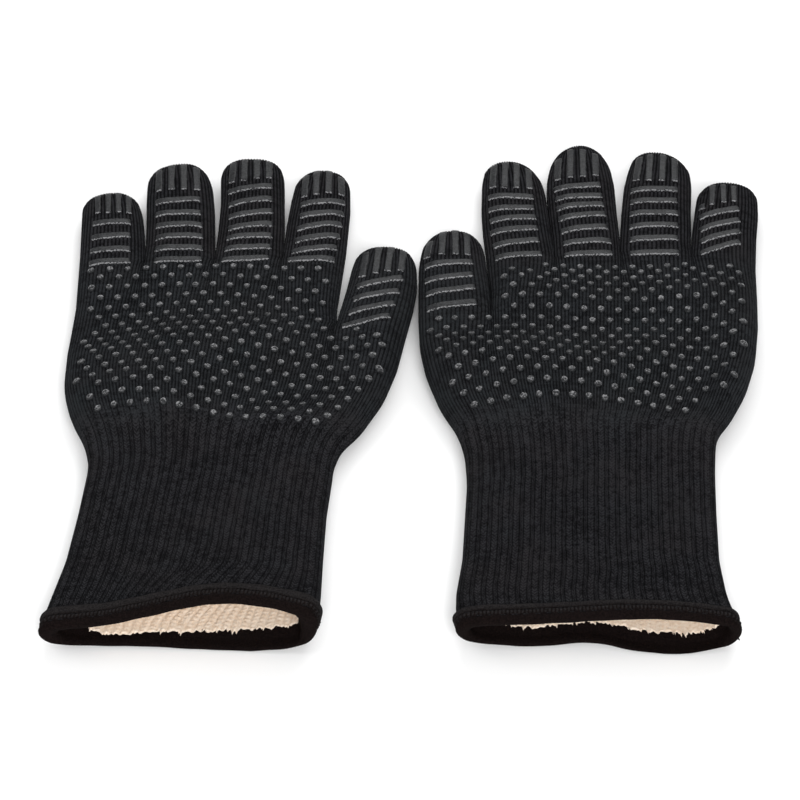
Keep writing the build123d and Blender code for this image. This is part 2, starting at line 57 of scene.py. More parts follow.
GLOVES = {
    "right": {
        "order": ["little", "ring", "middle", "index", "thumb"],
        "left_edge": [(-155.2, -162), (-154.6, -155), (-151.6, -138), (-147.2, -115), (-144.4, -85), (-142.7, -60)],
        "right_edge": [(-31.5, -60), (-33.6, -85), (-34.5, -115), (-34.9, -138), (-35.8, -155), (-36.2, -162)],
        "hand": [
            (-142.7, -52), (-145.6, -38), (-153.4, -22),
            (-158.7, -3), (-159.2, 22), (-158.0, 55), (-159.3, 92),
            (-161.0, 120), (-161.6, 131), (-158.6, 137.5), (-151, 141.5),
            (-141.5, 141.6), (-134.5, 136.5), (-131, 126), (-129.2, 113),
            (-128.1, 100), (-127.9, 87.5), (-126.9, 87.5), (-127.1, 100),
            (-127.8, 115), (-129.2, 135), (-129.8, 152), (-126.5, 160.5),
            (-117, 165.8), (-107, 165.6), (-100.5, 159.5), (-96.5, 148),
            (-94.6, 130), (-93.6, 112), (-93.0, 98), (-93.0, 89),
            (-92.0, 89), (-91.9, 98), (-91.4, 112), (-91.2, 135),
            (-92.4, 156), (-90.3, 164.6), (-83, 169.2), (-70, 169.1),
            (-62.5, 164.5), (-59.7, 154), (-59.2, 135), (-58.6, 115),
            (-58.8, 102), (-59.2, 91), (-58.2, 91), (-57.8, 102),
            (-57.0, 116), (-55.4, 135), (-53.4, 150.5), (-48, 158.3),
            (-39, 160.8), (-29.5, 156.8), (-25.8, 148), (-25.6, 130),
            (-27.5, 97), (-30.1, 68), (-31.5, 53), (-31.4, 42),
            (-30.4, 42), (-28.7, 54), (-26, 68), (-23.6, 84),
            (-21.2, 93.5), (-14, 99.3), (-3, 99.8), (4.5, 96.0),
            (8.0, 86), (8.3, 72), (6, 55), (1.8, 33), (-2, 12),
            (-8, -8), (-18.5, -29), (-27.5, -40), (-31, -52),
        ],
        "finger_rows": (87.2, 92.0),
        "digits": {
            "little": {"lean": -3.3, "root": (-143.9, 98.0), "mid": None},
            "ring": {"lean": -2.2, "root": (-110.7, 98.2), "mid": (-111.6, 126.1)},
            "middle": {"lean": 0.0, "root": (-75.7, 98.9), "mid": (-75.7, 125.7)},
            "index": {"lean": 3.1, "root": (-42.6, 97.9), "mid": (-40.9, 125.2)},
            "thumb": {"lean": 8.5, "root": (-11.9, 53.1), "mid": None},
        },
        # bars: cross bars end to end, then the tip bars from low end to high end
        "bars": {
            "little": ([(-154.4, 112.6, -135.6, 113.7), (-154.0, 101.7, -135.1, 103.7), (-153.9, 91.6, -134.4, 93.3), (-153.6, 81.9, -133.8, 84.6)],
                [(-152.5, 120.5, -153.9, 135.6), (-147.2, 120.1, -148.7, 137.6), (-142.2, 120.5, -143.6, 138.0), (-137.2, 120.5, -138.6, 136.0)]),
            "ring": ([(-123.9, 129.6, -101.6, 131.7), (-123.3, 120.2, -100.8, 120.9), (-122.7, 110.9, -99.5, 111.6), (-122.0, 101.7, -98.8, 102.9), (-121.9, 93.1, -98.3, 93.5), (-121.8, 84.4, -98.3, 84.7)],
                [(-122.9, 138.3, -123.9, 156.5), (-116.6, 138.7, -117.9, 160.6), (-110.2, 139.1, -111.8, 161.4), (-103.6, 139.1, -105.4, 158.6)]),
            "middle": ([(-87.7, 138.5, -65.5, 141.8), (-87.1, 128.0, -65.1, 132.2), (-86.5, 117.9, -64.6, 122.5), (-86.3, 109.1, -64.3, 113.0), (-86.7, 101.4, -64.2, 104.3), (-87.3, 92.5, -64.5, 95.6), (-88.4, 83.7, -65.2, 86.7)],
                [(-86.0, 145.5, -85.7, 162.7), (-79.8, 145.5, -80.1, 164.3), (-73.4, 146.8, -73.9, 165.1), (-67.3, 148.0, -67.9, 163.5)]),
            "index": ([(-50.4, 127.2, -28.4, 131.1), (-50.5, 117.9, -28.9, 122.2), (-51.7, 108.1, -29.7, 113.6), (-52.4, 99.2, -30.5, 104.0), (-53.9, 91.4, -31.8, 94.8), (-56.0, 85.0, -32.7, 85.7)],
                [(-48.6, 133.5, -48.1, 152.1), (-42.7, 134.3, -42.8, 156.5), (-36.5, 135.9, -36.6, 156.5), (-30.2, 136.3, -30.7, 152.9)]),
            "thumb": ([(-21.1, 64.2, 1.3, 70.9), (-22.9, 55.2, -0.5, 60.2), (-25.0, 45.1, -2.6, 50.1), (-28.0, 34.7, -4.9, 39.3)],
                [(-18.6, 71.3, -16.4, 91.9), (-12.1, 73.3, -10.3, 95.8), (-6.3, 75.3, -4.2, 95.8), (0.3, 76.1, 1.6, 93.6)]),
        },
        # how far the stuffed palm stands proud of an even crown: middle, reach, height
        "bumps": [(-124.2, -11.9, 31.5, 17, 7.4), (-5.4, 11.2, 17.3, 34.5, 7.4), (-100, 19.8, 28.8, 34.2, 8.9), (-51.8, -31.5, 22.5, 10, 5.5), (-139.8, 12.1, 17.7, 10, 2.6), (-63.9, 26.6, 23.9, 15.9, 4), (-106.3, -28, 24.8, 10, 4.4), (-116.7, 44, 60, 22.7, -5.1), (-31.5, -19.5, 15.8, 10, 1.9)],
        # dots of each printed row, and where the rows run over the wrinkled cloth
        "dot_rows": [(-9, -2, 11), (-8, -2, 11), (-7, -3, 10), (-6, -3, 10), (-5, -4, 9), (-4, -4, 9), (-3, -4, 11), (-2, -5, 12), (-1, -6, 12), (0, -6, 11), (1, -6, 11), (2, -7, 10), (3, -7, 9), (4, -8, 8), (5, -7, 7), (6, -8, 6), (7, -8, 5)],
        "dot_run": [(-80.4, 11.5), (23.58, -57.5), (-3.2, -7.56), (2.29, -1.29), (0.93, 9.23), (-0.17, 5.99), (79.41, -10.31), (-2.55, -10.85), (1.52, 2.53), (0.76, 11.49), (1.47, 7.16), (-1.32, -4.29), (1.66, 8.18), (6.68, 3.83), (6.12, -2.16), (4.15, 1.31), (1.36, 1.38), (-0.63, 0.59), (-0.61, -1.18), (-4.77, 2.23), (-5.19, 4.44)],
        # cuff mouth: height along the top edge by share of the width, recess of
        # the top edge and of the bottom edge, height of the two side folds
        "mouth_top": [(0.0, 15.0), (0.08, 16.0), (0.22, 17.2), (0.38, 21.5), (0.52, 25.5), (0.66, 27.0), (0.80, 26.5), (0.92, 25.0), (1.0, 24.0)],
        "mouth_top_y": [(0.0, 1.5), (0.15, 2.5), (0.45, 5.0), (0.68, 7.0), (0.85, 5.0), (1.0, 1.0)],
        "mouth_low": [(0.0, 5.5), (0.06, 3.5), (0.2, 1.3), (0.4, 1.0), (0.8, 1.0), (0.94, 4.5), (1.0, 8.0)],
        "mouth_side": (11.0, 17.0),
        "mouth_inset": (6.0, 6.0),
        "mouth_roll": [(0.0, 4.0), (0.5, 3.9), (0.8, 3.2), (1.0, 3.4)],
        "mouth_low_y": [(0.0, 1.5), (0.1, 2.6), (0.21, 3.4), (0.5, 2.6), (0.73, 1.3), (0.92, 0.6), (1.0, 1.0)],
        "lining_edge": [(0.0, 17.0), (0.10, 13.0), (0.15, 6.5), (0.19, 3.2), (0.43, 3.0), (0.66, 6.0), (0.90, 7.6), (0.95, 8.6), (1.0, 10.5)],
        "hem_lean": (9.0, 0.55),
    },
    "left": {
        "order": ["thumb", "index", "middle", "ring", "little"],
        "left_edge": [(24.9, -162), (24.9, -155), (24.7, -138), (28.0, -115), (29.8, -85), (31.0, -66)],
        "right_edge": [(143.2, -66), (142.0, -85), (140.6, -115), (142.0, -138), (146.0, -155), (147.4, -162)],
        "hand": [
            (31.0, -58), (30.5, -44), (27.5, -30.5), (19.5, -14),
            (13, 8), (10.1, 27), (9.5, 45), (9.4, 66), (9.6, 86),
            (11.8, 101), (17.5, 109.5), (26, 112.3), (35, 110.2),
            (40.2, 103.5), (42.2, 95), (43.0, 80), (43.9, 62), (43.9, 50.5),
            (44.9, 50.5), (45.0, 62), (44.1, 80), (43.4, 97), (42.3, 112),
            (41.8, 128), (42.4, 150), (44.5, 161.5), (51, 167.2),
            (60, 167.2), (67.5, 162.2), (72.4, 153), (74.4, 142),
            (75.1, 125), (76.1, 105), (76.6, 91.8), (77.6, 91.8),
            (77.1, 105), (76.1, 125), (75.5, 142), (75.9, 152),
            (78.3, 165), (83, 175), (90.5, 180.7), (98, 180.3),
            (104.5, 174.8), (108.7, 163.5), (110.0, 148), (109.9, 125),
            (110.2, 109), (109.5, 95.5), (110.5, 95.5), (111.2, 109),
            (113.0, 128), (115.3, 147), (118.4, 161), (121.7, 170.8),
            (128, 175), (137, 174.6), (145, 169), (149.7, 160),
            (149.7, 148), (147.7, 128), (146.4, 110), (145.4, 100),
            (144.8, 91.5), (145.8, 91.5), (146.4, 100), (147.7, 112),
            (150.2, 128), (152.5, 141), (158, 148.2), (165, 150.5),
            (173, 149.8), (180, 145.4), (182.7, 138.5), (181.6, 124),
            (178.8, 106), (176.2, 84), (174.8, 62), (173.0, 40),
            (169.5, 17), (163, -4), (154.2, -22), (147.2, -32),
            (145.2, -44), (143.8, -58),
        ],
        "finger_rows": (91.8, 89.5),
        "digits": {
            "thumb": {"lean": -1.0, "root": (26.4, 66.4), "mid": None},
            "index": {"lean": -2.2, "root": (59.6, 103.5), "mid": (58.6, 129.9)},
            "middle": {"lean": -0.9, "root": (93.3, 104.3), "mid": (92.9, 130.6)},
            "ring": {"lean": 5.2, "root": (128.6, 106.5), "mid": (131.0, 135.2)},
            "little": {"lean": 7.0, "root": (163.3, 108.1), "mid": None},
        },
        "bars": {
            "thumb": ([(12.2, 80.9, 35.9, 83.3), (12.3, 70.1, 35.7, 72.5), (12.8, 59.1, 36.5, 61.8), (13.0, 48.2, 37.1, 50.9)],
                [(13.5, 87.4, 16.1, 104.2), (20.7, 87.8, 21.8, 108.1), (27.5, 88.2, 27.7, 108.8), (33.4, 88.2, 33.3, 106.3)]),
            "index": ([(45.3, 134.5, 67.9, 133.3), (45.2, 124.7, 67.8, 124.9), (45.6, 115.7, 68.6, 117.5), (45.7, 106.6, 69.0, 109.1), (46.6, 96.7, 69.4, 99.7), (47.4, 87.4, 70.3, 89.3)],
                [(47.5, 141.5, 48.9, 160.6), (53.4, 139.9, 54.6, 162.7), (59.5, 139.9, 60.0, 161.9), (66.0, 139.9, 65.8, 157.4)]),
            "middle": ([(78.9, 140.8, 102.3, 142.9), (79.3, 132.8, 102.8, 134.6), (79.5, 125.1, 103.2, 128.0), (80.1, 116.9, 103.8, 120.2), (80.8, 107.5, 104.2, 110.2), (81.6, 97.9, 105.4, 99.7), (81.6, 88.0, 105.6, 90.0)],
                [(81.0, 148.0, 82.7, 170.5), (87.2, 148.4, 88.8, 173.4), (93.9, 148.8, 94.8, 173.4), (100.4, 150.0, 100.9, 170.1)]),
            "ring": ([(117.9, 139.7, 141.5, 139.4), (117.1, 130.4, 140.6, 130.3), (116.2, 120.9, 140.4, 120.6), (115.5, 111.0, 139.7, 111.0), (115.0, 101.0, 139.1, 101.2), (114.3, 89.9, 138.6, 89.9)],
                [(121.2, 147.2, 124.6, 167.2), (127.3, 145.9, 129.9, 169.3), (134.1, 145.9, 136.4, 168.9), (140.6, 145.9, 141.9, 165.6)]),
            "little": ([(151.4, 118.8, 171.3, 123.9), (150.8, 108.9, 170.9, 115.5), (150.2, 99.4, 170.4, 106.6), (149.3, 89.9, 169.5, 97.5)],
                [(153.2, 125.2, 155.0, 140.4), (158.2, 126.8, 160.3, 144.4), (164.1, 128.0, 165.4, 144.8), (169.5, 128.8, 170.4, 143.6)]),
        },
        # how far the stuffed palm stands proud of an even crown: middle, reach, height
        "bumps": [(98.4, 2.7, 18.1, 12.5, 3.7), (142.6, 55, 23.7, 12.5, 4.7), (118.5, 15.8, 17.1, 12.3, 4), (39.3, 10.6, 46, 16.4, 7.7), (75, 53.4, 48.1, 12, 4.6), (158, -12.4, 12, 12.9, 7.4), (54.1, 68.2, 17.5, 10, 3.7), (70.4, -10.6, 41.7, 20.2, 8.9), (169.3, 24.7, 18.7, 39.1, 9.7)],
        # dots of each printed row, and where the rows run over the wrinkled cloth
        "dot_rows": [(-6, 0, 8), (-5, 0, 10), (-4, -3, 10), (-3, -4, 9), (-2, -4, 9), (-1, -5, 8), (0, -5, 8), (1, -10, 7), (2, -11, 7), (3, -11, 6), (4, -12, 6), (5, -12, 5), (6, -12, 4), (7, -12, 4), (8, -13, 3), (9, -13, 1), (10, -13, 0)],
        "dot_run": [(117.92, 37.5), (31.36, -52.95), (-1.14, -0.04), (0.99, -1.64), (-1.43, -7.02), (-1.85, 5.5), (82.96, -2.58), (-2.02, -2.42), (-2, -8.13), (-3.25, -0.13), (1.25, 4.87), (0.49, 4), (0.88, -2.72), (-0.31, 5.02), (2.38, -1.66), (3.2, 3.66), (1.03, 3.1), (-0.41, -0.93), (1.07, -1.5), (-2.06, -0.26), (-1.26, -1.25)],
        "mouth_top": [(0.0, 17.0), (0.07, 18.5), (0.2, 19.0), (0.4, 19.8), (0.6, 21.2), (0.8, 20.4), (0.93, 18.3), (1.0, 17.0)],
        "mouth_top_y": [(0.0, 1.5), (0.2, 2.0), (0.5, 3.0), (0.8, 2.5), (1.0, 1.5)],
        "mouth_low": [(0.0, 7.5), (0.05, 5.5), (0.14, 3.2), (0.3, 1.3), (0.48, 2.8), (0.66, 0.9), (0.85, 0.9), (0.95, 3.0), (1.0, 5.5)],
        "mouth_side": (12.7, 11.5),
        "mouth_inset": (4.5, 3.6),
        "mouth_roll": [(0.0, 3.4), (0.5, 3.6), (0.68, 2.0), (1.0, 1.6)],
        "mouth_low_y": [(0.0, 1.5), (0.12, 2.2), (0.23, 2.7), (0.48, 3.6), (0.66, 0.2), (0.82, -0.4), (0.91, 1.0), (1.0, 1.5)],
        "lining_edge": [(0.0, 14.0), (0.10, 9.6), (0.16, 6.9), (0.5, 6.9), (0.6, 6.6), (0.92, 5.6), (0.96, 6.2), (1.0, 8.0)],
        "hem_lean": (2.5, 0.6),
    },
}


# ------------------------------------------------------------------ outlines
def rounded(points, share=0.47, cap=70.0, step=1.1):
    """A dense path along the polyline with each of its corners rounded off."""
    pts = np.array(points, float)
    out = [pts[0]]
    for a, b, c in zip(pts, pts[1:], pts[2:]):
        u, v = b - a, c - b
        lu, lv = math.hypot(*u), math.hypot(*v)
        u, v = u / lu, v / lv
        turn = abs((math.atan2(v[1], v[0]) - math.atan2(u[1], u[0]) + math.pi) % (2 * math.pi) - math.pi)
        reach = min(share * min(lu, lv), cap * math.tan(max(turn, 1e-6) / 2))
        s = np.linspace(0, 1, 13)[:, None]
        out.extend((1 - s) ** 2 * (b - u * reach) + 2 * s * (1 - s) * b + s * s * (b + v * reach))
    out.append(pts[-1])
    out = np.array(out)
    run = np.r_[0, np.cumsum(np.hypot(*np.diff(out, axis=0).T))]
    keep = np.r_[True, np.diff(run) > 1e-9]
    out, run = out[keep], run[keep]
    n = max(4, int(run[-1] / step))
    t = np.linspace(0, run[-1], n + 1)
    return np.c_[np.interp(t, run, out[:, 0]), np.interp(t, run, out[:, 1])]


def along(path, share):
    """Points at shares of a path's length."""
    run = np.r_[0, np.cumsum(np.hypot(*np.diff(path, axis=0).T))]
    t = np.asarray(share) * run[-1]
    return np.c_[np.interp(t, run, path[:, 0]), np.interp(t, run, path[:, 1])]


def cut_rising(path, y):
    """The part of a path from where it first rises past y."""
    i = int(np.argmax(path[:, 1] > y))
    a, b = path[i - 1], path[i]
    p = a + (b - a) * (y - a[1]) / (b[1] - a[1])
    return np.vstack([p, path[i:]])


def x_rising(path, y):
    """x where a path that rises with y crosses y; it stops at its top."""
    top = int(np.argmax(path[:, 1]))
    return np.interp(y, path[: top + 1, 1], path[: top + 1, 0])


def smooth(t):
    t = np.clip(t, 0, 1)
    return t * t * (3 - 2 * t)


def dome(t):
    """A quarter ellipse: 0 at the edge, 1 from t = 1 on."""
    return np.sqrt(np.maximum(0, 1 - (1 - np.clip(t, 0, 1)) ** 2))


def spread(n, width, r_left, r_right, high=7.5):
    """n + 1 shares of a width, evenly apart along an arch with round ends."""
    x = (1 - np.cos(np.linspace(0, np.pi, 1601))) / 2 * width
    z = high * np.minimum(dome(x / max(r_left, 1e-3)), dome((width - x) / max(r_right, 1e-3)))
    s = np.r_[0, np.cumsum(np.hypot(np.diff(x), np.diff(z)))]
    return np.interp(np.linspace(0, s[-1], n + 1), s, x) / width


def spread_end(n, length, r, high=7.5):
    """n + 1 shares of a length, evenly apart along a run whose far end is round."""
    x = np.r_[np.linspace(0, 0.5, 300)[:-1], 0.5 + 0.5 * np.sin(np.linspace(0, np.pi / 2, 1600))] * length
    z = high * dome((length - x) / r)
    s = np.r_[0, np.cumsum(np.hypot(np.diff(x), np.diff(z)))]
    return np.interp(np.linspace(0, s[-1], n + 1), s, x) / length


def curve_at(table, f):
    """A smooth curve through a short table of (share, value)."""
    t = np.array(table, float)
    x, y = t[:, 0], t[:, 1]
    m = np.gradient(y, x)
    f = np.clip(np.asarray(f, float), x[0], x[-1])
    i = np.clip(np.searchsorted(x, f, side="right") - 1, 0, len(x) - 2)
    h = x[i + 1] - x[i]
    s = (f - x[i]) / h
    return (
        (2 * s**3 - 3 * s**2 + 1) * y[i] + (s**3 - 2 * s**2 + s) * h * m[i]
        + (-2 * s**3 + 3 * s**2) * y[i + 1] + (s**3 - s**2) * h * m[i + 1]
    )


def ripple(x, y, seed, size, octaves=3):
    """Smooth repeatable noise from a few crossed waves, about -1 to 1."""
    r = np.random.default_rng(seed)
    total, weight = 0, 0
    for o in range(octaves):
        for _ in range(4):
            a = r.uniform(0, 2 * math.pi)
            k = 2 * math.pi / size * 1.9**o * r.uniform(0.7, 1.3)
            total = total + np.sin(k * (x * math.cos(a) + y * math.sin(a)) + r.uniform(0, 6.28)) * 0.55**o
            weight += 0.55**o
    return total / weight * 2.0


class Glove:
    """The fabric's middle surface of one glove, without its ribs."""

    def __init__(self, side, g):
        self.side, self.g = side, g
        pts = [tuple(p) for p in g["left_edge"] + g["hand"] + g["right_edge"]]
        parts, self.crotch, i = [[]], [], 0
        while i < len(pts):
            if i + 1 < len(pts) and pts[i][1] == pts[i + 1][1] and abs(pts[i + 1][0] - pts[i][0] - 1) < 1e-6:
                m = (pts[i][0] + 0.5, pts[i][1])
                self.crotch.append(m)
                parts[-1].append(m)
                parts.append([m])
                i += 2
            else:
                parts[-1].append(pts[i])
                i += 1
        self.paths = [rounded(p) for p in parts]
        self.outline = np.vstack(self.paths)
        seg = [np.c_[p[:-1], p[1:]] for p in self.paths]
        self.segments = np.vstack(seg)

    def edge_distance(self, p):
        out = np.empty(len(p))
        a, b = self.segments[:, :2], self.segments[:, 2:]
        ab = b - a
        ll = (ab**2).sum(1)
        for s in range(0, len(p), 3000):
            q = p[s : s + 3000]
            lo, hi = q.min(0) - 30, q.max(0) + 30
            near = ((np.maximum(a, b) > lo) & (np.minimum(a, b) < hi)).all(1)
            if not near.any():
                out[s : s + 3000] = 60.0
                continue
            aa, dd, l2 = a[near], ab[near], ll[near]
            w = q[:, None, :] - aa[None]
            t = np.clip((w * dd[None]).sum(2) / l2[None], 0, 1)
            w -= t[..., None] * dd[None]
            out[s : s + 3000] = np.sqrt((w**2).sum(2).min(1))
        return out

    def cuff_share(self, y):
        """0 in the hand, 1 at the cuff's mouth."""
        return np.clip((-50.0 - y) / (-50.0 - MOUTH_Y), 0, 1.06)

    def heights(self, p, f=None):
        """Top and bottom height of the fabric over points of the layout."""
        x, y = p[:, 0], p[:, 1]
        d = self.edge_distance(p)
        t = self.cuff_share(y)
        digit = smooth((y - 78) / 30)
        r = 12.0 + 0.5 * digit - 2.5 * smooth(t * 6)
        und = self.crown(x, y)
        top = 7.5 + (7.5 + und) * dome(d / r)
        low_r = 7.5 + 1.0 * digit
        lift = 0.35 + 0.45 * (1 + ripple(x, y, 5, 46, 2)) * dome(d / 14)
        low = 7.5 - (7.5 - lift) * dome(d / low_r)
        if f is not None and (t > 0).any():
            s = t**1.25
            side = np.where(f < 0.5, *self.g["mouth_side"])
            round_off = dome(d / 5.6)
            mt = side + (curve_at(self.g["mouth_top"], f) - side) * round_off
            ml = side + (curve_at(self.g["mouth_low"], f) - side) * round_off
            top = top * (1 - s) + mt * s
            low = low * (1 - s) + ml * s
            low = np.maximum(low, 0.35)
        return top, low

    def crown(self, x, y):
        """What the palm's cloth adds to or takes from its even height."""
        out = 0.45 * ripple(x, y, 3 if self.side == "right" else 8, 52, 3)
        for cx, cy, rx, ry, high in self.g["bumps"]:
            out = out + high * np.exp(-(((x - cx) / rx) ** 2) - ((y - cy) / ry) ** 2)
        return out

    def point(self, p):
        """The palm surface and its normal over points of the layout (N x 2)."""
        e = 0.25
        z = self.heights(p)[0]
        zx = self.heights(p + [e, 0])[0] - self.heights(p - [e, 0])[0]
        zy = self.heights(p + [0, e])[0] - self.heights(p - [0, e])[0]
        n = np.c_[-zx / (2 * e), -zy / (2 * e), np.ones(len(p))]
        n /= np.linalg.norm(n, axis=1)[:, None]
        return np.c_[p, z], n


def bend_mouth(glove, y, f, which):
    """The mouth's edge isn't straight: its rows fall back a little."""
    t = np.clip((-75.0 - y) / (-75.0 - MOUTH_Y), 0, 1.1) ** 2
    return y + curve_at(glove.g[which], f) * t


# ------------------------------------------------------------ fabric patches
class Cloth:
    """Welded points and quads of one glove's shell, kept patch by patch."""

    def __init__(self):
        self.co, self.count = [], 0
        self.patches = {}

    def add(self, pts):
        ids = np.arange(self.count, self.count + len(pts))
        self.co.append(pts)
        self.count += len(pts)
        return ids


def sheet_pair(cloth, name, glove, xy, share, first=None, closed_end=False, wale0=0, run0=0.0, open_first=(), mouth=False):
    """Palm and back sheet over a grid of layout points. first gives ids for the
    first row (palm, back). Side columns, and the last row if closed_end, are
    shared. open_first lists first-row columns that the sheets share."""
    rows, cols = xy.shape[:2]
    flat = xy.reshape(-1, 2)
    f = share.reshape(-1) if share is not None else None
    top, low = glove.heights(flat, f)
    tp, bp = np.c_[flat, top], np.c_[flat, low]
    if mouth:
        tp[:, 1] = bend_mouth(glove, tp[:, 1], f, "mouth_top_y")
        bp[:, 1] = bend_mouth(glove, bp[:, 1], f, "mouth_low_y")
    tp, bp = tp.reshape(rows, cols, 3), bp.reshape(rows, cols, 3)
    a, b = np.full((rows, cols), -1), np.full((rows, cols), -1)
    if first is not None:
        a[0], b[0] = first
    j0 = 0 if first is None else 1
    ids = cloth.add(tp[j0:].reshape(-1, 3)).reshape(rows - j0, cols)
    a[j0:] = ids
    shared = np.zeros((rows, cols), bool)
    shared[j0:, 0] = shared[j0:, -1] = True
    if closed_end:
        shared[-1] = True
    for i in open_first:
        shared[-1, i] = True
    own = ~shared
    own[:j0] = False
    b[own] = cloth.add(bp[own])
    shared[:j0] = False
    b[shared] = a[shared]
    # The two sheets meet halfway at a shared point.
    run = run0 + np.r_[0, np.cumsum(np.hypot(*np.diff(xy[:, cols // 2], axis=0).T))]
    cloth.patches[name] = {"palm": a, "back": b, "wale0": wale0, "run": run}
    return a, b


def build_cloth(glove):
    g, order = glove.g, glove.g["order"]
    cloth = Cloth()
    thumb_first = order[0] == "thumb"
    n = DIGIT_WALES * WALE
    cr = glove.crotch
    thumb_crotch = cr[0] if thumb_first else cr[-1]
    y0 = thumb_crotch[1]
    up_left = glove.paths[0]
    up_right = glove.paths[-1][::-1]
    # hand and cuff below the thumb's crotch
    ys = np.linspace(MOUTH_Y, y0, int(round((y0 - MOUTH_Y) / 1.45)) + 1)
    xl, xr = x_rising(up_left, ys), x_rising(up_right, ys)
    even = {}
    thumb_n, rest_n = n, 4 * n
    top_l, top_r = xl[-1], xr[-1]
    if thumb_first:
        w1, w2 = thumb_crotch[0] - top_l, top_r - thumb_crotch[0]
        s1, s2 = spread(thumb_n, w1, 9.5, 9.5), spread(rest_n, w2, 9.5, 9.5)
    else:
        w1, w2 = thumb_crotch[0] - top_l, top_r - thumb_crotch[0]
        s1, s2 = spread(rest_n, w1, 9.5, 9.5), spread(thumb_n, w2, 9.5, 9.5)
    width = top_r - top_l
    u_top = np.r_[s1 * w1 / width, (w1 + s2[1:] * w2) / width]
    u_even = spread(5 * n, float(np.mean(xr - xl)), 9.5, 9.5)
    xy = np.empty((len(ys), 5 * n + 1, 2))
    share = np.empty((len(ys), 5 * n + 1))
    for j, y in enumerate(ys):
        b = smooth(1 - (y0 - y) / 75.0)
        u = u_even * (1 - b) + u_top * b
        # thumb's wales lean in from further down
        wander = 0.0035 * np.sin(y / 31.0 + (1.0 if thumb_first else 2.2)) * np.sin(np.pi * u) * smooth((-10 - y) / 60)
        u = u + wander
        lean_mm, lean_at = g["hem_lean"]
        hem = smooth((-127 - y) / 22.0) * (1 - y * 0)
        u = u - lean_mm / 120.0 * hem * np.exp(-(((u - lean_at) / 0.30) ** 2)) * np.clip(u * 12, 0, 1) * np.clip((1 - u) * 12, 0, 1)
        xy[j, :, 0] = xl[j] + u * (xr[j] - xl[j])
        xy[j, :, 1] = y
        share[j] = u
    split = thumb_n if thumb_first else rest_n
    a0, b0 = sheet_pair(cloth, "body", glove, xy, share, open_first=[split], mouth=True)
    glove.body_share = share
    body_rows = len(ys)
    # the four fingers' palm
    if thumb_first:
        cols = slice(thumb_n, 5 * n + 1)
        left_path, right_path = glove.paths[1], up_right
    else:
        cols = slice(0, rest_n + 1)
        left_path, right_path = up_left, glove.paths[-2][::-1]
    yl, yr = g["finger_rows"]
    fingers = [d for d in order if d != "thumb"]
    fcr = cr[1:] if thumb_first else cr[:-1]
    rows = int(round((np.mean([c[1] for c in fcr]) - y0) / 1.45)) + 1
    v = np.linspace(0, 1, rows)
    left = np.c_[x_rising(left_path, y0 + v * (yl - y0)), y0 + v * (yl - y0)]
    right = np.c_[x_rising(right_path, y0 + v * (yr - y0)), y0 + v * (yr - y0)]
    left[0], right[0] = xy[-1, cols][0], xy[-1, cols][-1]
    marks_x = np.array([left[-1, 0]] + [c[0] for c in fcr] + [right[-1, 0]])
    marks_y = np.array([yl] + [c[1] for c in fcr] + [yr])
    seg = [spread(n, marks_x[k + 1] - marks_x[k], 11.5, 11.5) for k in range(4)]
    xt = np.concatenate([marks_x[k] + seg[k][(1 if k else 0):] * (marks_x[k + 1] - marks_x[k]) for k in range(4)])
    yt = np.interp(xt, marks_x, marks_y)
    u_end = (xt - xt[0]) / (xt[-1] - xt[0])
    u_begin = (xy[-1, cols, 0] - left[0, 0]) / (right[0, 0] - left[0, 0])
    grid = np.empty((rows, 4 * n + 1, 2))
    for j in range(rows):
        b = smooth(v[j] / 1.0)
        u = u_begin * (1 - b) + u_end * b
        straight = left[j] + u[:, None] * (right[j] - left[j])
        line_top = np.c_[xt, yt] - (left[-1] + u_end[:, None] * (right[-1] - left[-1]))
        grid[j] = straight + line_top * v[j] ** 2
    marks = [n, 2 * n, 3 * n]
    a1, b1 = sheet_pair(
        cloth, "palm", glove, grid, None, first=(a0[-1, cols], b0[-1, cols]), open_first=marks,
        wale0=(thumb_n if thumb_first else 0), run0=y0 - MOUTH_Y,
    )
    # digits
    for k, d in enumerate(order):
        lean = math.radians(g["digits"][d]["lean"])
        axis = np.array([math.sin(lean), math.cos(lean)])
        path = glove.paths[k]
        if d == "thumb":
            row_a, row_b = a0[-1], b0[-1]
            cut = slice(0, thumb_n + 1) if thumb_first else slice(rest_n, 5 * n + 1)
            base = xy[-1, cut]
            start0 = 0.0
        else:
            i = fingers.index(d)
            row_a, row_b = a1[-1], b1[-1]
            cut = slice(i * n, (i + 1) * n + 1)
            base = grid[-1, cut]
        lo, hi = base[0], base[-1]
        il = 0 if k and abs(path[0] - lo).max() < 0.3 else None
        ir = len(path) - 1 if k < 4 and abs(path[-1] - hi).max() < 0.3 else None
        tip = int(np.argmax(path @ axis))
        if il is None:
            up = path[: tip + 1]
            il = int(np.argmax(up[:, 1] > lo[1]))
        if ir is None:
            down = path[tip:][::-1]
            ir = len(path) - 1 - int(np.argmax(down[:, 1] > hi[1]))
        tan = np.gradient(path, axis=0)
        tan /= np.linalg.norm(tan, axis=1)[:, None]
        c = tan @ axis
        sl = max(i for i in range(il, tip) if c[i] > 0.66)
        sr = min(i for i in range(tip, ir) if c[i] < -0.66)
        d0 = np.vstack([lo, path[il + 1 : sl + 1]])
        d1 = np.vstack([hi, path[sr:ir][::-1]])
        c1 = path[sl : sr + 1]
        length = float((path[tip] - (lo + hi) / 2) @ axis)
        rows = int(round((length + 5) / 1.3)) + 1
        vv = spread_end(rows - 1, length, 12.5)
        u0 = ((base - lo) @ (hi - lo)) / ((hi - lo) @ (hi - lo))
        u1 = np.linspace(0, 1, n + 1)
        top_row = along(c1, u1)
        dl, dr = along(d0, vv), along(d1, vv)
        g3 = np.empty((rows, n + 1, 2))
        for j, t in enumerate(vv):
            s = smooth(t) * t
            u = (u0 * (1 - s) + u1 * s)[:, None]
